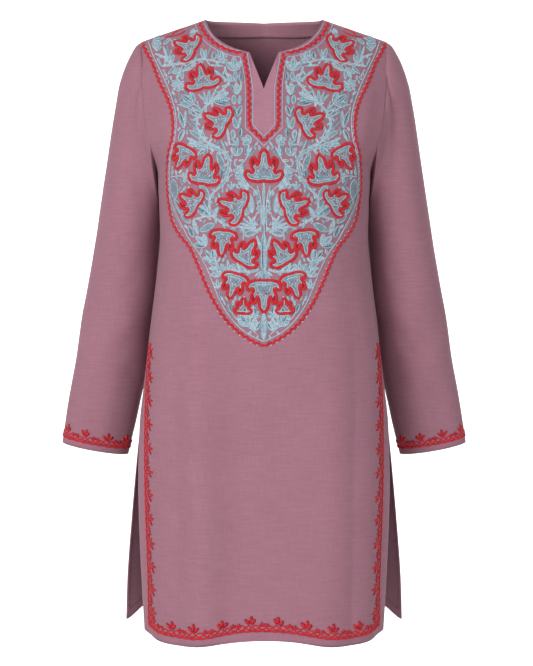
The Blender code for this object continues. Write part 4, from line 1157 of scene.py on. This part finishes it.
# Each petal or leaf runs from its base to its tip; wide is in metres, and pale is 1 where the
# pale rows are the inner ones
Petal = namedtuple("Petal", "base_px base_py tip_px tip_py wide pale")
PETALS = (
    Petal(168.0, 60.0, 163.4, 46.5, 0.0040, 0), Petal(168.6, 60.0, 167.6, 45.2, 0.0034, 1),
    Petal(169.4, 60.0, 171.8, 50.0, 0.0034, 0), Petal(171.5, 62.5, 173.6, 55.0, 0.0060, 0),
    Petal(153.0, 41.5, 163.5, 38.0, 0.0100, 0), Petal(154.0, 48.0, 158.5, 40.5, 0.0080, 0),
    Petal(157.5, 51.0, 158.5, 44.0, 0.0070, 1), Petal(163.5, 44.5, 170.5, 38.6, 0.0060, 0),
    Petal(173.2, 64.4, 161.7, 66.3, 0.0047, 0), Petal(175.7, 66.3, 168.1, 73.9, 0.0055, 1),
    Petal(181.0, 68.5, 172.6, 73.5, 0.0075, 0), Petal(181.2, 69.0, 176.6, 79.0, 0.0075, 1),
    Petal(182.0, 69.0, 182.6, 79.5, 0.0055, 0), Petal(178.0, 85.0, 172.4, 80.8, 0.0085, 0),
    Petal(178.0, 85.0, 183.6, 81.2, 0.0085, 1), Petal(178.0, 85.6, 172.8, 90.0, 0.0085, 1),
    Petal(178.0, 85.6, 183.4, 90.2, 0.0085, 0), Petal(178.0, 85.0, 178.0, 78.8, 0.0045, 1),
    Petal(196.1, 62.7, 183.5, 70.9, 0.0085, 0), Petal(203.6, 58.6, 201.4, 48.4, 0.0058, 0),
    Petal(206.0, 58.6, 210.9, 46.5, 0.0034, 1), Petal(205.0, 58.6, 206.2, 49.5, 0.0040, 0),
    Petal(213.3, 59.6, 214.6, 51.6, 0.0068, 0), Petal(222.6, 60.8, 221.6, 51.8, 0.0105, 0),
    Petal(222.0, 63.5, 227.5, 60.0, 0.0060, 1), Petal(209.0, 65.5, 223.5, 66.3, 0.0040, 1),
    Petal(194.5, 60.0, 199.4, 53.6, 0.0034, 0), Petal(190.4, 32.8, 197.4, 31.0, 0.0080, 0),
    Petal(187.0, 36.0, 198.0, 36.4, 0.0050, 1), Petal(227.5, 81.5, 214.3, 70.2, 0.0062, 1),
    Petal(208.2, 103.8, 198.9, 94.6, 0.0040, 0), Petal(208.2, 103.8, 203.4, 91.4, 0.0044, 1),
    Petal(208.2, 103.8, 209.4, 90.6, 0.0048, 0), Petal(209.0, 103.8, 215.8, 89.4, 0.0044, 1),
    Petal(214.0, 101.2, 230.2, 104.2, 0.0080, 0), Petal(214.0, 100.7, 229.2, 92.6, 0.0085, 1),
    Petal(214.0, 101.0, 230.6, 98.6, 0.0060, 0), Petal(193.8, 104.0, 182.2, 95.4, 0.0150, 0),
    Petal(181.4, 104.5, 179.2, 92.6, 0.0034, 1), Petal(201.0, 110.6, 197.2, 101.0, 0.0034, 0),
    Petal(201.0, 111.0, 193.6, 103.6, 0.0034, 1), Petal(200.6, 112.0, 191.9, 107.4, 0.0036, 0),
    Petal(199.6, 117.0, 187.6, 111.2, 0.0066, 1), Petal(184.4, 128.0, 179.0, 111.6, 0.0068, 0),
    Petal(184.4, 128.0, 185.8, 110.6, 0.0068, 1), Petal(184.0, 129.5, 179.2, 141.0, 0.0075, 0),
    Petal(196.6, 126.5, 189.8, 117.4, 0.0034, 1), Petal(199.0, 134.0, 188.0, 121.5, 0.0036, 0),
    Petal(202.0, 139.0, 189.6, 130.5, 0.0062, 0), Petal(204.0, 124.5, 200.5, 137.0, 0.0045, 1),
    Petal(234.4, 70.8, 234.0, 57.8, 0.0145, 0), Petal(239.4, 69.5, 241.0, 59.5, 0.0045, 1),
    Petal(235.6, 80.6, 235.3, 71.6, 0.0065, 0), Petal(240.2, 80.6, 240.6, 71.6, 0.0065, 1),
    Petal(231.4, 81.0, 230.0, 74.6, 0.0062, 0), Petal(236.4, 94.6, 231.4, 84.6, 0.0060, 1),
    Petal(236.4, 94.6, 236.6, 82.8, 0.0085, 0), Petal(236.8, 94.6, 241.4, 84.6, 0.0060, 1),
    Petal(234.2, 104.2, 233.8, 95.2, 0.0068, 0), Petal(239.4, 104.2, 239.9, 95.2, 0.0068, 1),
    Petal(237.2, 116.4, 233.6, 105.8, 0.0066, 1), Petal(237.6, 116.4, 241.4, 105.8, 0.0066, 0),
    Petal(236.4, 128.8, 233.6, 116.8, 0.0064, 0), Petal(238.0, 128.8, 240.8, 116.8, 0.0064, 1),
    Petal(234.0, 138.6, 232.6, 129.6, 0.0070, 0), Petal(240.4, 137.6, 241.4, 128.4, 0.0070, 1),
    Petal(251.0, 141.8, 242.0, 138.6, 0.0120, 0), Petal(238.5, 145.4, 231.8, 138.8, 0.0078, 1),
    Petal(236.4, 155.9, 231.4, 147.6, 0.0066, 0), Petal(236.8, 155.9, 237.0, 146.4, 0.0062, 1),
    Petal(237.2, 155.9, 242.0, 147.8, 0.0066, 0), Petal(246.4, 157.4, 245.0, 145.0, 0.0040, 1),
    Petal(247.0, 157.4, 249.0, 145.2, 0.0040, 0), Petal(247.4, 157.4, 252.4, 146.8, 0.0038, 1),
    Petal(229.9, 145.2, 226.8, 126.6, 0.0040, 0), Petal(226.4, 153.0, 221.0, 139.8, 0.0040, 1),
    Petal(189.4, 142.6, 192.6, 150.6, 0.0075, 0), Petal(207.0, 146.6, 198.2, 154.6, 0.0100, 0),
    Petal(199.5, 144.0, 187.0, 137.6, 0.0062, 1), Petal(218.2, 147.8, 204.2, 140.8, 0.0045, 0),
    Petal(243.2, 172.4, 233.6, 170.2, 0.0115, 0), Petal(244.0, 180.0, 236.0, 178.6, 0.0085, 1),
    Petal(249.6, 157.8, 254.6, 150.4, 0.0034, 1), Petal(224.5, 171.4, 217.6, 152.4, 0.0085, 0),
    Petal(221.6, 180.0, 222.4, 166.4, 0.0050, 1), Petal(226.8, 181.0, 233.0, 174.0, 0.0036, 0),
    Petal(231.3, 189.4, 231.3, 181.6, 0.0090, 1), Petal(248.6, 188.6, 240.8, 186.4, 0.0082, 0),
    Petal(252.0, 213.6, 249.8, 193.4, 0.0102, 1), Petal(246.4, 215.4, 245.4, 206.2, 0.0074, 0),
    Petal(258.4, 206.0, 256.4, 189.0, 0.0036, 0), Petal(187.6, 178.4, 187.0, 169.6, 0.0074, 0),
    Petal(173.0, 179.0, 175.6, 199.2, 0.0112, 0), Petal(174.4, 199.6, 182.0, 214.6, 0.0084, 1),
    Petal(180.0, 177.4, 183.4, 186.4, 0.0034, 0), Petal(181.6, 214.6, 190.8, 223.0, 0.0084, 0),
    Petal(209.4, 200.0, 200.3, 183.9, 0.0094, 0), Petal(209.8, 212.2, 203.0, 198.8, 0.0056, 1),
    Petal(210.2, 215.8, 196.2, 205.6, 0.0118, 0), Petal(213.2, 217.0, 218.4, 206.8, 0.0074, 1),
    Petal(214.4, 223.8, 200.0, 231.2, 0.0094, 0), Petal(193.5, 220.0, 198.6, 234.4, 0.0074, 1),
    Petal(234.6, 227.0, 232.0, 231.8, 0.0056, 0), Petal(240.4, 228.0, 243.8, 233.2, 0.0062, 1),
    Petal(255.8, 232.6, 243.2, 234.8, 0.0084, 0), Petal(254.6, 227.8, 242.4, 217.8, 0.0042, 1),
    Petal(254.6, 228.4, 240.8, 223.2, 0.0042, 0), Petal(255.0, 227.0, 247.8, 215.8, 0.0040, 0),
    Petal(224.6, 222.8, 220.2, 213.4, 0.0036, 1), Petal(193.4, 237.0, 189.0, 226.0, 0.0078, 0),
    Petal(205.8, 246.0, 196.4, 236.6, 0.0132, 0), Petal(203.6, 236.2, 206.6, 244.0, 0.0060, 1),
    Petal(214.4, 260.6, 205.8, 250.6, 0.0135, 1), Petal(218.0, 268.0, 209.2, 262.2, 0.0085, 0),
    Petal(219.4, 276.2, 212.6, 268.4, 0.0105, 0), Petal(220.2, 270.0, 221.0, 277.0, 0.0070, 1),
    Petal(217.8, 288.4, 217.2, 279.6, 0.0078, 0), Petal(227.0, 271.4, 220.8, 264.0, 0.0075, 0),
    Petal(227.4, 271.4, 227.6, 260.4, 0.0088, 1), Petal(227.8, 271.4, 234.2, 264.6, 0.0075, 0),
    Petal(239.0, 270.8, 237.4, 261.8, 0.0072, 0), Petal(243.2, 271.0, 242.4, 260.6, 0.0036, 1),
    Petal(239.4, 272.0, 238.6, 276.6, 0.0060, 0), Petal(261.6, 250.8, 256.8, 236.0, 0.0042, 1),
    Petal(261.4, 271.6, 255.0, 276.0, 0.0040, 0), Petal(261.8, 272.4, 256.2, 281.8, 0.0042, 1),
    Petal(231.4, 312.6, 228.2, 304.0, 0.0064, 1), Petal(239.6, 319.4, 239.0, 312.6, 0.0040, 0),
    Petal(252.4, 317.6, 246.8, 309.4, 0.0080, 0), Petal(252.8, 317.6, 253.6, 305.4, 0.0092, 1),
    Petal(253.2, 317.6, 258.6, 311.6, 0.0070, 0), Petal(248.6, 325.6, 241.2, 315.4, 0.0122, 0),
    Petal(255.4, 330.6, 254.6, 318.6, 0.0136, 1), Petal(249.6, 328.0, 248.4, 321.0, 0.0036, 0),
)
# On the middle line: a slim stem, a long bud, the trunk, and the leaf at its foot
MIDDLE_PETALS = (
    Petal(264.0, 205.0, 264.0, 182.5, 0.0040, 0), Petal(264.0, 226.0, 264.0, 203.5, 0.0080, 1),
    Petal(264.0, 240.0, 264.0, 222.0, 0.0034, 0), Petal(264.0, 276.0, 264.0, 232.0, 0.0105, 1),
    Petal(264.0, 286.5, 264.0, 270.0, 0.0072, 0), Petal(264.0, 341.0, 264.0, 311.5, 0.0098, 1),
)
VINE_CORD = 0.0023
PETAL_CORD = 0.0022
PETAL_STITCH = 0.0030
PETAL_POINTS = 9
PETAL_CLOSENESS = 1.15
PALE_SHARE = 0.25
SPECK_SHARE = 0.10
FULLNESS = 1.22
NARROW = 0.0050
# A petal nearly as wide as it is long is worked as three slimmer ones
STOUT = 0.66
FAN = math.radians(36)
FAN_SIDE_REACH = 0.88
FAN_MIDDLE_REACH = 1.06
FAN_WIDE = 0.60
VINE_ROW_SHARE = 0.78
SPRIG_EVERY = 0.0066
SPRIG_LONG = 0.0082
SPRIG_WIDE = 0.0048
SPRIG_TURN = math.radians(42)
SPRIG_CLEAR = 0.0045
SPRIG_LEAF_SHARE = 0.86


def turned_by(way, angle):
    """A direction (x, z) turned by an angle."""
    cos, sin = math.cos(angle), math.sin(angle)
    return np.array((way[0] * cos - way[1] * sin, way[0] * sin + way[1] * cos))


def in_a_leaf(place, leaves, share):
    """Whether a place is within a share of the reach of one of the maple leaves."""
    return any(math.dist(place, (leaf.x, leaf.z)) < share * leaf.reach for leaf in leaves)


def slim_petal(stitching, base, tip, wide, pale):
    """A pointed leaf of lengthwise rows of stitches that meet at its base and tip."""
    along = tip - base
    across = np.array((-along[1], along[0])) / np.linalg.norm(along)
    t = np.linspace(0, 1, PETAL_POINTS)
    half = (wide - PETAL_CORD) / 2 * np.sin(math.pi * t**0.95) ** 0.6
    count = max(2, round(wide / PETAL_CORD * PETAL_CLOSENESS))
    for k in range(count):
        line = base + t[:, None] * along + (2 * k / (count - 1) - 1) * half[:, None] * across
        outer = k in (0, count - 1)
        pale_row = count > 2 and outer != pale
        thread = PALE_BLUE if pale_row or stitching.random.random() < PALE_SHARE else BLUE
        if not outer and stitching.random.random() < SPECK_SHARE:
            thread = DARK_BLUE
        if np.abs(line[:, 0]).max() < wide:
            stitching.row(line, thread, PETAL_CORD, spacing=PETAL_STITCH)
        else:
            stitching.both(line, thread, PETAL_CORD, spacing=PETAL_STITCH)


def petal_shape(stitching, base, tip, wide, pale):
    """One slim petal, or a fan of three where the petal is stout."""
    base, tip = np.array(base), np.array(tip)
    along = tip - base
    if wide < STOUT * np.linalg.norm(along) or wide < NARROW:
        slim_petal(stitching, base, tip, wide, pale)
        return
    for angle, reach in ((-FAN, FAN_SIDE_REACH), (FAN, FAN_SIDE_REACH), (0.0, FAN_MIDDLE_REACH)):
        slim_petal(stitching, base, base + turned_by(along, angle) * reach, wide * FAN_WIDE, pale)


def vine_rows(stitching, vine):
    """The rows of a vine side by side, pale outside and deeper between."""
    line = seen_line(vine.points)
    for k in range(vine.rows):
        offset = (k - (vine.rows - 1) / 2) * VINE_CORD * VINE_ROW_SHARE
        thread = PALE_BLUE if k in (0, vine.rows - 1) else BLUE
        stitching.both(sideways(line, offset), thread, VINE_CORD)


def sprigs(stitching, vine):
    """Small leaves on the two sides of a vine by turns, clear of the yoke's edge and middle leaves."""
    line = evenly(seen_line(vine.points), SPRIG_EVERY)
    for i, (place, ahead) in enumerate(zip(line[1:-1], line[2:] - line[1:-1])):
        angle = SPRIG_TURN * (1 if i % 2 else -1) + stitching.random.uniform(-0.2, 0.2)
        way = turned_by(ahead / np.linalg.norm(ahead), angle)
        tip = place + way * SPRIG_LONG * stitching.random.uniform(0.85, 1.15)
        clear = np.linalg.norm(yoke_edge_line - tip, axis=1).min() >= SPRIG_CLEAR
        clear = clear and not in_a_leaf(tip, middle_leaves, SPRIG_LEAF_SHARE)
        if clear and tip[0] < -SPRIG_WIDE / 2:
            slim_petal(stitching, place, tip, SPRIG_WIDE, i % 3 == 0)


yoke_edge_line = seen_line(YOKE_LINE)
middle_leaves = [leaf for leaf in LEAVES if leaf.x == 0]
vines = Stitching(20)
for vine in VINES:
    vine_rows(vines, vine)
    sprigs(vines, vine)
vines.made("yoke_vines", blue_cotton, slot="blue_thread")

flora = Stitching(21)
for petal in PETALS + MIDDLE_PETALS:
    base, tip = seen(petal.base_px, petal.base_py), seen(petal.tip_px, petal.tip_py)
    if petal in MIDDLE_PETALS:
        base, tip = (0.0, base[1]), (0.0, tip[1])
    petal_shape(flora, base, tip, petal.wide * FULLNESS, petal.pale)
flora.made("yoke_flowers", blue_cotton, slot="blue_thread")

# Small leaves that fill what is left bare of the yoke
FILL_EVERY = 0.0062
FILL_CLEAR = 0.0036
FILL_INSET = 0.0048
FILL_LEAF_SHARE = 0.90
FILL_LONG = (0.0060, 0.0080)
FILL_TURN = (0.25, 0.75)
neck_edge_line = seen_line(NECK_OUTER_LINE + PLACKET_OUTER_LINE[1:] + PLACKET_OUTER_FOOT[1:])


def bare_places(laid):
    """Places of a grid over the viewer's left of the yoke that no stitch or maple leaf is near."""
    edge_xs, edge_zs = yoke_edge_line[::-1].T
    neck_xs, neck_zs = neck_edge_line[::-1].T
    found = []
    for z in np.arange(edge_zs.min(), edge_zs.max(), FILL_EVERY):
        outer = np.interp(z, edge_zs, edge_xs)
        inner = np.interp(z, neck_zs, neck_xs, left=0.0)
        for x in np.arange(outer + FILL_INSET, inner - FILL_INSET, FILL_EVERY):
            in_leaf = in_a_leaf((abs(x), z), LEAVES, FILL_LEAF_SHARE)
            if in_leaf or z > ridge_z(x) - FILL_INSET * 2:
                continue
            if np.linalg.norm(laid - (x, z), axis=1).min() > FILL_CLEAR:
                found.append(np.array((x, z)))
    return found


fillers = Stitching(22)
blue_laid = np.array([(stitch[0], stitch[2]) for stitch in vines.laid + flora.laid])
for k, place in enumerate(bare_places(blue_laid)):
    angle = fillers.random.uniform(*FILL_TURN) * math.pi + (math.pi if k % 3 == 0 else 0)
    way = np.array((math.cos(angle), math.sin(angle))) * fillers.random.uniform(*FILL_LONG)
    slim_petal(fillers, place - way / 2, place + way / 2, SPRIG_WIDE, k % 2 == 0)
fillers.made("yoke_small_leaves", blue_cotton, slot="blue_thread")

# Shoulder sprays
# Two short strokes of plump red chain stitch on each side, where the yoke rolls over the shoulder
# seam.
SHOULDER_STROKES = (
    ((166, 36.8), (171, 36.4), (176, 35.4), (182, 33.4), (184.8, 31.2)),
    ((172.5, 34.4), (176, 31.6), (183.4, 28.4)),
)
STROKE_CORD = 0.0036
STROKE_HIGH = 0.0020
shoulder_strokes = Stitching(23)
for points in SHOULDER_STROKES:
    shoulder_strokes.both(seen_line(points), RED, STROKE_CORD, high=STROKE_HIGH)
shoulder_strokes.made("shoulder_strokes", red_cotton, slot="red_thread")

# Hem and slit border
# A red border of flowers up both slit edges and along the hem of the front: a stout base line, a
# lattice of two crossing waves on it, and buds of three petals that stand inwards.
HEM_BASE_UP = 0.0134
SLIT_BORDER = (
    (149.4, 343), (147.0, 372), (145.7, 400), (145.0, 450), (145.6, 500), (147.4, 550), (148.5, 585),
    (148.9, 622.6),
)
# How high the lattice stands and how often it crosses, how far apart the large buds are, how long
# and wide their petals are, their spread in degrees, and the middle petal's share of the length
Border = namedtuple("Border", "high period every petal wide spread middle")
HEM_BORDER = Border(0.0094, 0.0200, 0.0400, 0.0140, 0.0066, 43, 1.00)
SLIT_FLOWERS = Border(0.0056, 0.0173, 0.0346, 0.0118, 0.0050, 60, 0.76)
CUFF_BORDER = Border(0.0092, 0.0174, 0.0336, 0.0134, 0.0054, 42, 1.00)
BASE_CORD = 0.0039
BASE_HIGH = 0.0022
BASE_WAVE = 0.0005
BASE_WAVE_EVERY = 0.013
BASE_STEP = 0.001
LATTICE_CORD = 0.0025
LATTICE_HIGH = 0.0016
LATTICE_FOOT = 0.0018
LATTICE_STEP = 0.0008
SIDE_PETAL = 0.86
# Where a bud's petals start, as a share of the lattice's height
BUD_ROOT = 0.93
SMALL_BUD_ROOT = 0.62
# The small buds after a large one: how far on, how large, and how many degrees they lean
SmallBud = namedtuple("SmallBud", "along scale lean")
SMALL_BUDS = (SmallBud(0.42, 0.54, -14), SmallBud(0.60, 0.46, 16))
BUD_END_CLEAR = 0.004
BUD_SHIFT = 0.0012
BUD_SWAY = 7
BUD_START = 0.03
BUD_LONG = (0.9, 1.05)
PETAL_ASIDE = 0.27
# Each petal is a red grain with a narrower dark red one always on the same side of it: painted shade for
# the petal's shaded flank
PetalPart = namedtuple("PetalPart", "thread aside wide high")
PETAL_GRAIN_AND_PAINTED_SHADE = (PetalPart(RED, 0.0, 0.78, 0.0023), PetalPart(DEEP_RED_AND_PAINTED_SHADE, 1.0, 0.50, 0.0021))

slit_line = seen_line(SLIT_BORDER)[::-1]
corner_x = abs(slit_line[0, 0])
hem_columns = np.linspace(-1, 1, 401)
hem_line = np.array([lower_point("front", a, hem_height(a) + HEM_BASE_UP) for a in hem_columns])
hem_columns, hem_line = (rows[np.abs(hem_line[:, 0]) <= corner_x] for rows in (hem_columns, hem_line))
hem_lengths = run_lengths(hem_line)
slit_heights = slit_line[:, 1]


def on_hem(run, up):
    """A place above the hem's base line, run metres from its corner on the viewer's left."""
    across = float(np.interp(run, hem_lengths, hem_columns))
    z = hem_height(across) + HEM_BASE_UP + up
    return nearest_spot(FRONT_FACES, lower_point("front", across, z))


def beside_slit(side):
    """Seats a place in from the base line of a slit's border, run metres up from the corner."""

    def seat(run, inwards):
        z = slit_line[0, 1] + run
        x = float(np.interp(z, slit_heights, slit_line[:, 0])) + inwards
        return on_front(-side * x, z)

    return seat


def wave(length, low, high, period, turned):
    """One wave of the lattice, between a rounded and a pointed one, and a little uneven."""
    runs = np.arange(0.0, length, LATTICE_STEP)
    rounded = 0.5 - 0.5 * np.cos(2 * math.pi * runs / period + turned)
    pointed = np.arccos(1 - 2 * rounded) / math.pi
    unevenly = 0.90 + 0.10 * np.sin(runs * 2 * math.pi / (period * 2.7) + turned)
    return np.column_stack([runs, low + (high - low) * (rounded + pointed) / 2 * unevenly])


def bud(stitching, seat, run, root, border, scale=1.0, lean=0.0):
    """Three plump petals that stand up from the lattice like a small tulip."""
    spread = border.spread
    for turned, share in ((-spread, SIDE_PETAL), (0.0, border.middle), (spread, SIDE_PETAL)):
        angle = math.radians(turned + lean + stitching.random.uniform(-BUD_SWAY, BUD_SWAY))
        way = np.array((math.sin(angle), math.cos(angle)))
        start = np.array((run, root)) + way * border.petal * scale * BUD_START
        end = start + way * border.petal * scale * share * stitching.random.uniform(*BUD_LONG)
        beside = np.array((way[1], -way[0])) * border.wide * scale * PETAL_ASIDE
        # The petal's red grain, then beside it the dark red grain of painted shade
        for part in PETAL_GRAIN_AND_PAINTED_SHADE:
            ends = [seat(*(place + beside * part.aside)) for place in (start, end)]
            length = (ends[1][0] - ends[0][0]).length
            wide = part.wide * (border.wide * scale)
            stitching.stitch(ends, length, wide, part.high, part.thread)


def flower_border(stitching, seat, length, border, closed=False):
    """The base line, its lattice, and large and small buds, from one end of a run to the other."""
    count = round(length / border.every)
    every = length / count
    period = every / 2 if closed else border.period
    runs = np.arange(0, length, BASE_STEP)
    base = np.column_stack([runs, BASE_WAVE * np.sin(runs * 2 * math.pi / BASE_WAVE_EVERY)])
    stitching.row(base, RED, BASE_CORD, seat=seat, high=BASE_HIGH)
    for turned in (0.0, math.pi):
        line = wave(length, LATTICE_FOOT, border.high, period, turned)
        stitching.row(line, RED, LATTICE_CORD, seat=seat, high=LATTICE_HIGH)
    for i in range(count):
        run = (i + 0.5) * every + stitching.random.uniform(-BUD_SHIFT, BUD_SHIFT)
        bud(stitching, seat, run, border.high * BUD_ROOT, border)
        for small in SMALL_BUDS:
            other = run + every * small.along
            if other < length - BUD_END_CLEAR:
                root = border.high * SMALL_BUD_ROOT
                bud(stitching, seat, other, root, border, small.scale, small.lean)


hem_border = Stitching(31)
flower_border(hem_border, on_hem, float(hem_lengths[-1]), HEM_BORDER)
for side in (-1, 1):
    flower_border(hem_border, beside_slit(side), slit_heights[-1] - slit_heights[0], SLIT_FLOWERS)
hem_border.made("hem_flower_border", red_cotton, "hem_border", slot="red_thread")

# Cuff borders
# The same border of red chain stitch runs all round each sleeve, just above its edge. Its lattice
# keeps step with its buds, so that the two ends meet.
CUFF_BASE_UP = 0.0108
CUFF_TURNS = np.linspace(0, 1, 145)


def round_cuff(side):
    """Seats a place of the cuff, by how far round the sleeve it is and how far up."""
    row = 2 - CUFF_BASE_UP / (SLEEVE_TUBE_TOP_Z - CUFF_Z)
    ring = np.array([sleeve_point(t % 1.0, row) for t in CUFF_TURNS])
    lengths = run_lengths(ring)

    def seat(run, up):
        turn = float(np.interp(run, lengths, CUFF_TURNS))
        point = sleeve_point(turn % 1.0, row) - SLEEVE_DOWN * up
        return nearest_spot(SLEEVE_FACES[side], Vector((point.x * side, point.y, point.z)))

    return seat, float(lengths[-1])


for name, side, seed in (("cuff_border_left", 1, 41), ("cuff_border_right", -1, 43)):
    cuff_border = Stitching(seed)
    seat, length = round_cuff(side)
    flower_border(cuff_border, seat, length, CUFF_BORDER, closed=True)
    cuff_border.made(name + "_stitching", red_cotton, name, slot="red_thread")

# Turned edges
# Single rows of mauve machine stitches hold down the turned hem and slit edges of the back, and
# show on both sides of the cloth.
SEAM_THREAD = Thread(0.120, 0.048, 0.066, 0.10)
SEAM_STITCH = 0.0032
SEAM_CORD = 0.0011
SEAM_LOOK = {"spacing": SEAM_STITCH, "high": 0.0008, "plump": 0.8}
HEM_TURN = 0.0150
SLIT_TURN = 0.0070
SLIT_TOP_Z = -0.494


def seated_inside(x, y, z):
    """Seats a stitch on the side of the back panel that faces the wearer."""
    spot, normal = seated_outside(x, y, z)
    return spot - normal * CLOTH, -normal


def seated_outside(x, y, z):
    """Seats a stitch on the outer side of the back panel."""
    return nearest_spot(BACK_FACES, Vector((x, y, z)))


def back_place(across, up):
    """A point of the back panel at a height above its hem."""
    return lower_point("back", across, back_hem_height(across) + up)


edge_across = 1 - SLIT_TURN / SECTIONS[-1].back_x
slit_ups = np.linspace(HEM_TURN, SLIT_TOP_Z - HEM_Z, 40)
seams = [[back_place(across, HEM_TURN) for across in np.linspace(-edge_across, edge_across, 121)]]
seams += [[back_place(side * edge_across, up) for up in slit_ups] for side in (-1, 1)]
edges = Stitching(51)
for seat in (seated_inside, seated_outside):
    for seam in seams:
        edges.row(seam, SEAM_THREAD, SEAM_CORD, seat=seat, **SEAM_LOOK)
edges.made("turned_edge_stitches", mauve_cotton, slot="mauve_cloth")

# Floor, backdrop, light and camera
# A pale studio sweep under the hanging garment, a large soft light from the front left with two
# weaker ones, and the camera where the photograph was taken from.
FLOOR_Z = -1.42
SWEEP_BACK_Y = 5.0
SWEEP_HALF = 9.0
SWEEP_ROUND = 1.6
SWEEP_FRONT_Y = -7.0
SWEEP_RISE = 6.0
SWEEP_STEPS = 12
sweep = bmesh.new()
line = [sweep.verts.new((0, y, FLOOR_Z)) for y in (SWEEP_FRONT_Y, SWEEP_BACK_Y - SWEEP_ROUND)]
sweep.edges.new(line)
bmesh.ops.spin(
    sweep,
    geom=[line[-1]],
    cent=(0, SWEEP_BACK_Y - SWEEP_ROUND, FLOOR_Z + SWEEP_ROUND),
    axis=(1, 0, 0),
    angle=math.pi / 2,
    steps=SWEEP_STEPS,
)
top = max(sweep.verts, key=lambda v: v.co.z)
raised = bmesh.ops.extrude_vert_indiv(sweep, verts=[top])
bmesh.ops.translate(sweep, verts=raised["verts"], vec=(0, 0, SWEEP_RISE))
bmesh.ops.translate(sweep, verts=sweep.verts[:], vec=(-SWEEP_HALF, 0, 0))
wide = bmesh.ops.extrude_edge_only(sweep, edges=sweep.edges[:])
moved = [item for item in wide["geom"] if isinstance(item, bmesh.types.BMVert)]
bmesh.ops.translate(sweep, verts=moved, vec=(2 * SWEEP_HALF, 0, 0))
floor = finished("studio_sweep", sweep)
paper = Finish("white_paper", Roughness=0.95)
paper.shader.inputs["Emission Strength"].default_value = 0.75
grit = paper.node("TexNoise", {}, {"Scale": 3.0, "Detail": 4.0})[0]
depth = paper.node("SeparateXYZ", {}, {0: paper.node("TexCoord")[3]})[1]
# The paper is white and lit from within where it stands behind the garment, and grey before it
glow = paper.share(depth, 0.5, 1.7)
near = paper.mix(grit, (0.48, 0.48, 0.48, 1.0), (0.52, 0.52, 0.52, 1.0))
far = paper.mix(grit, (0.90, 0.90, 0.90, 1.0), (0.93, 0.93, 0.93, 1.0))
lit = paper.mix(grit, (0.98, 0.99, 0.99, 1.0), (1.0, 1.0, 1.0, 1.0))
floor.data.materials.append(
    paper.shows(
        Base_Color=paper.mix(glow, near, far),
        Emission_Color=paper.mix(glow, (0.0, 0.0, 0.0, 1.0), lit),
    )
)

world = bpy.data.worlds.new("soft_white")
world.use_nodes = True
world.node_tree.nodes["Background"].inputs["Color"].default_value = (1.0, 1.0, 1.0, 1.0)
world.node_tree.nodes["Background"].inputs["Strength"].default_value = 0.48
bpy.context.scene.world = world
bpy.context.scene.view_settings.view_transform = "Standard"


def soft_light(name, place, aim, size, power):
    """A round soft light that faces a point."""
    lamp = bpy.data.lights.new(name, "AREA")
    lamp.shape, lamp.size, lamp.energy = "DISK", size, power
    holder = placed(name, lamp)
    holder.location = place
    holder.rotation_euler = (Vector(aim) - Vector(place)).to_track_quat("-Z", "Y").to_euler()


soft_light("key_front_left", place=(-1.95, -2.90, 0.26), aim=(0, 0, -0.36), size=1.6, power=97)
soft_light("fill_front_right", place=(1.9, -2.8, -0.6), aim=(0, 0, -0.4), size=1.6, power=33)
soft_light("fill_behind", place=(1.8, 3.0, 1.6), aim=(0, 0, -0.4), size=2.0, power=14)

lens = bpy.data.cameras.new("photo_view")
lens.sensor_width, lens.lens, lens.sensor_fit = SENSOR, LENS, "AUTO"
lens.clip_start, lens.clip_end = 0.05, 100
camera = placed("photo_view", lens)
camera.location = CAMERA
camera.rotation_euler = (math.pi / 2, 0, 0)
bpy.context.scene.camera = camera
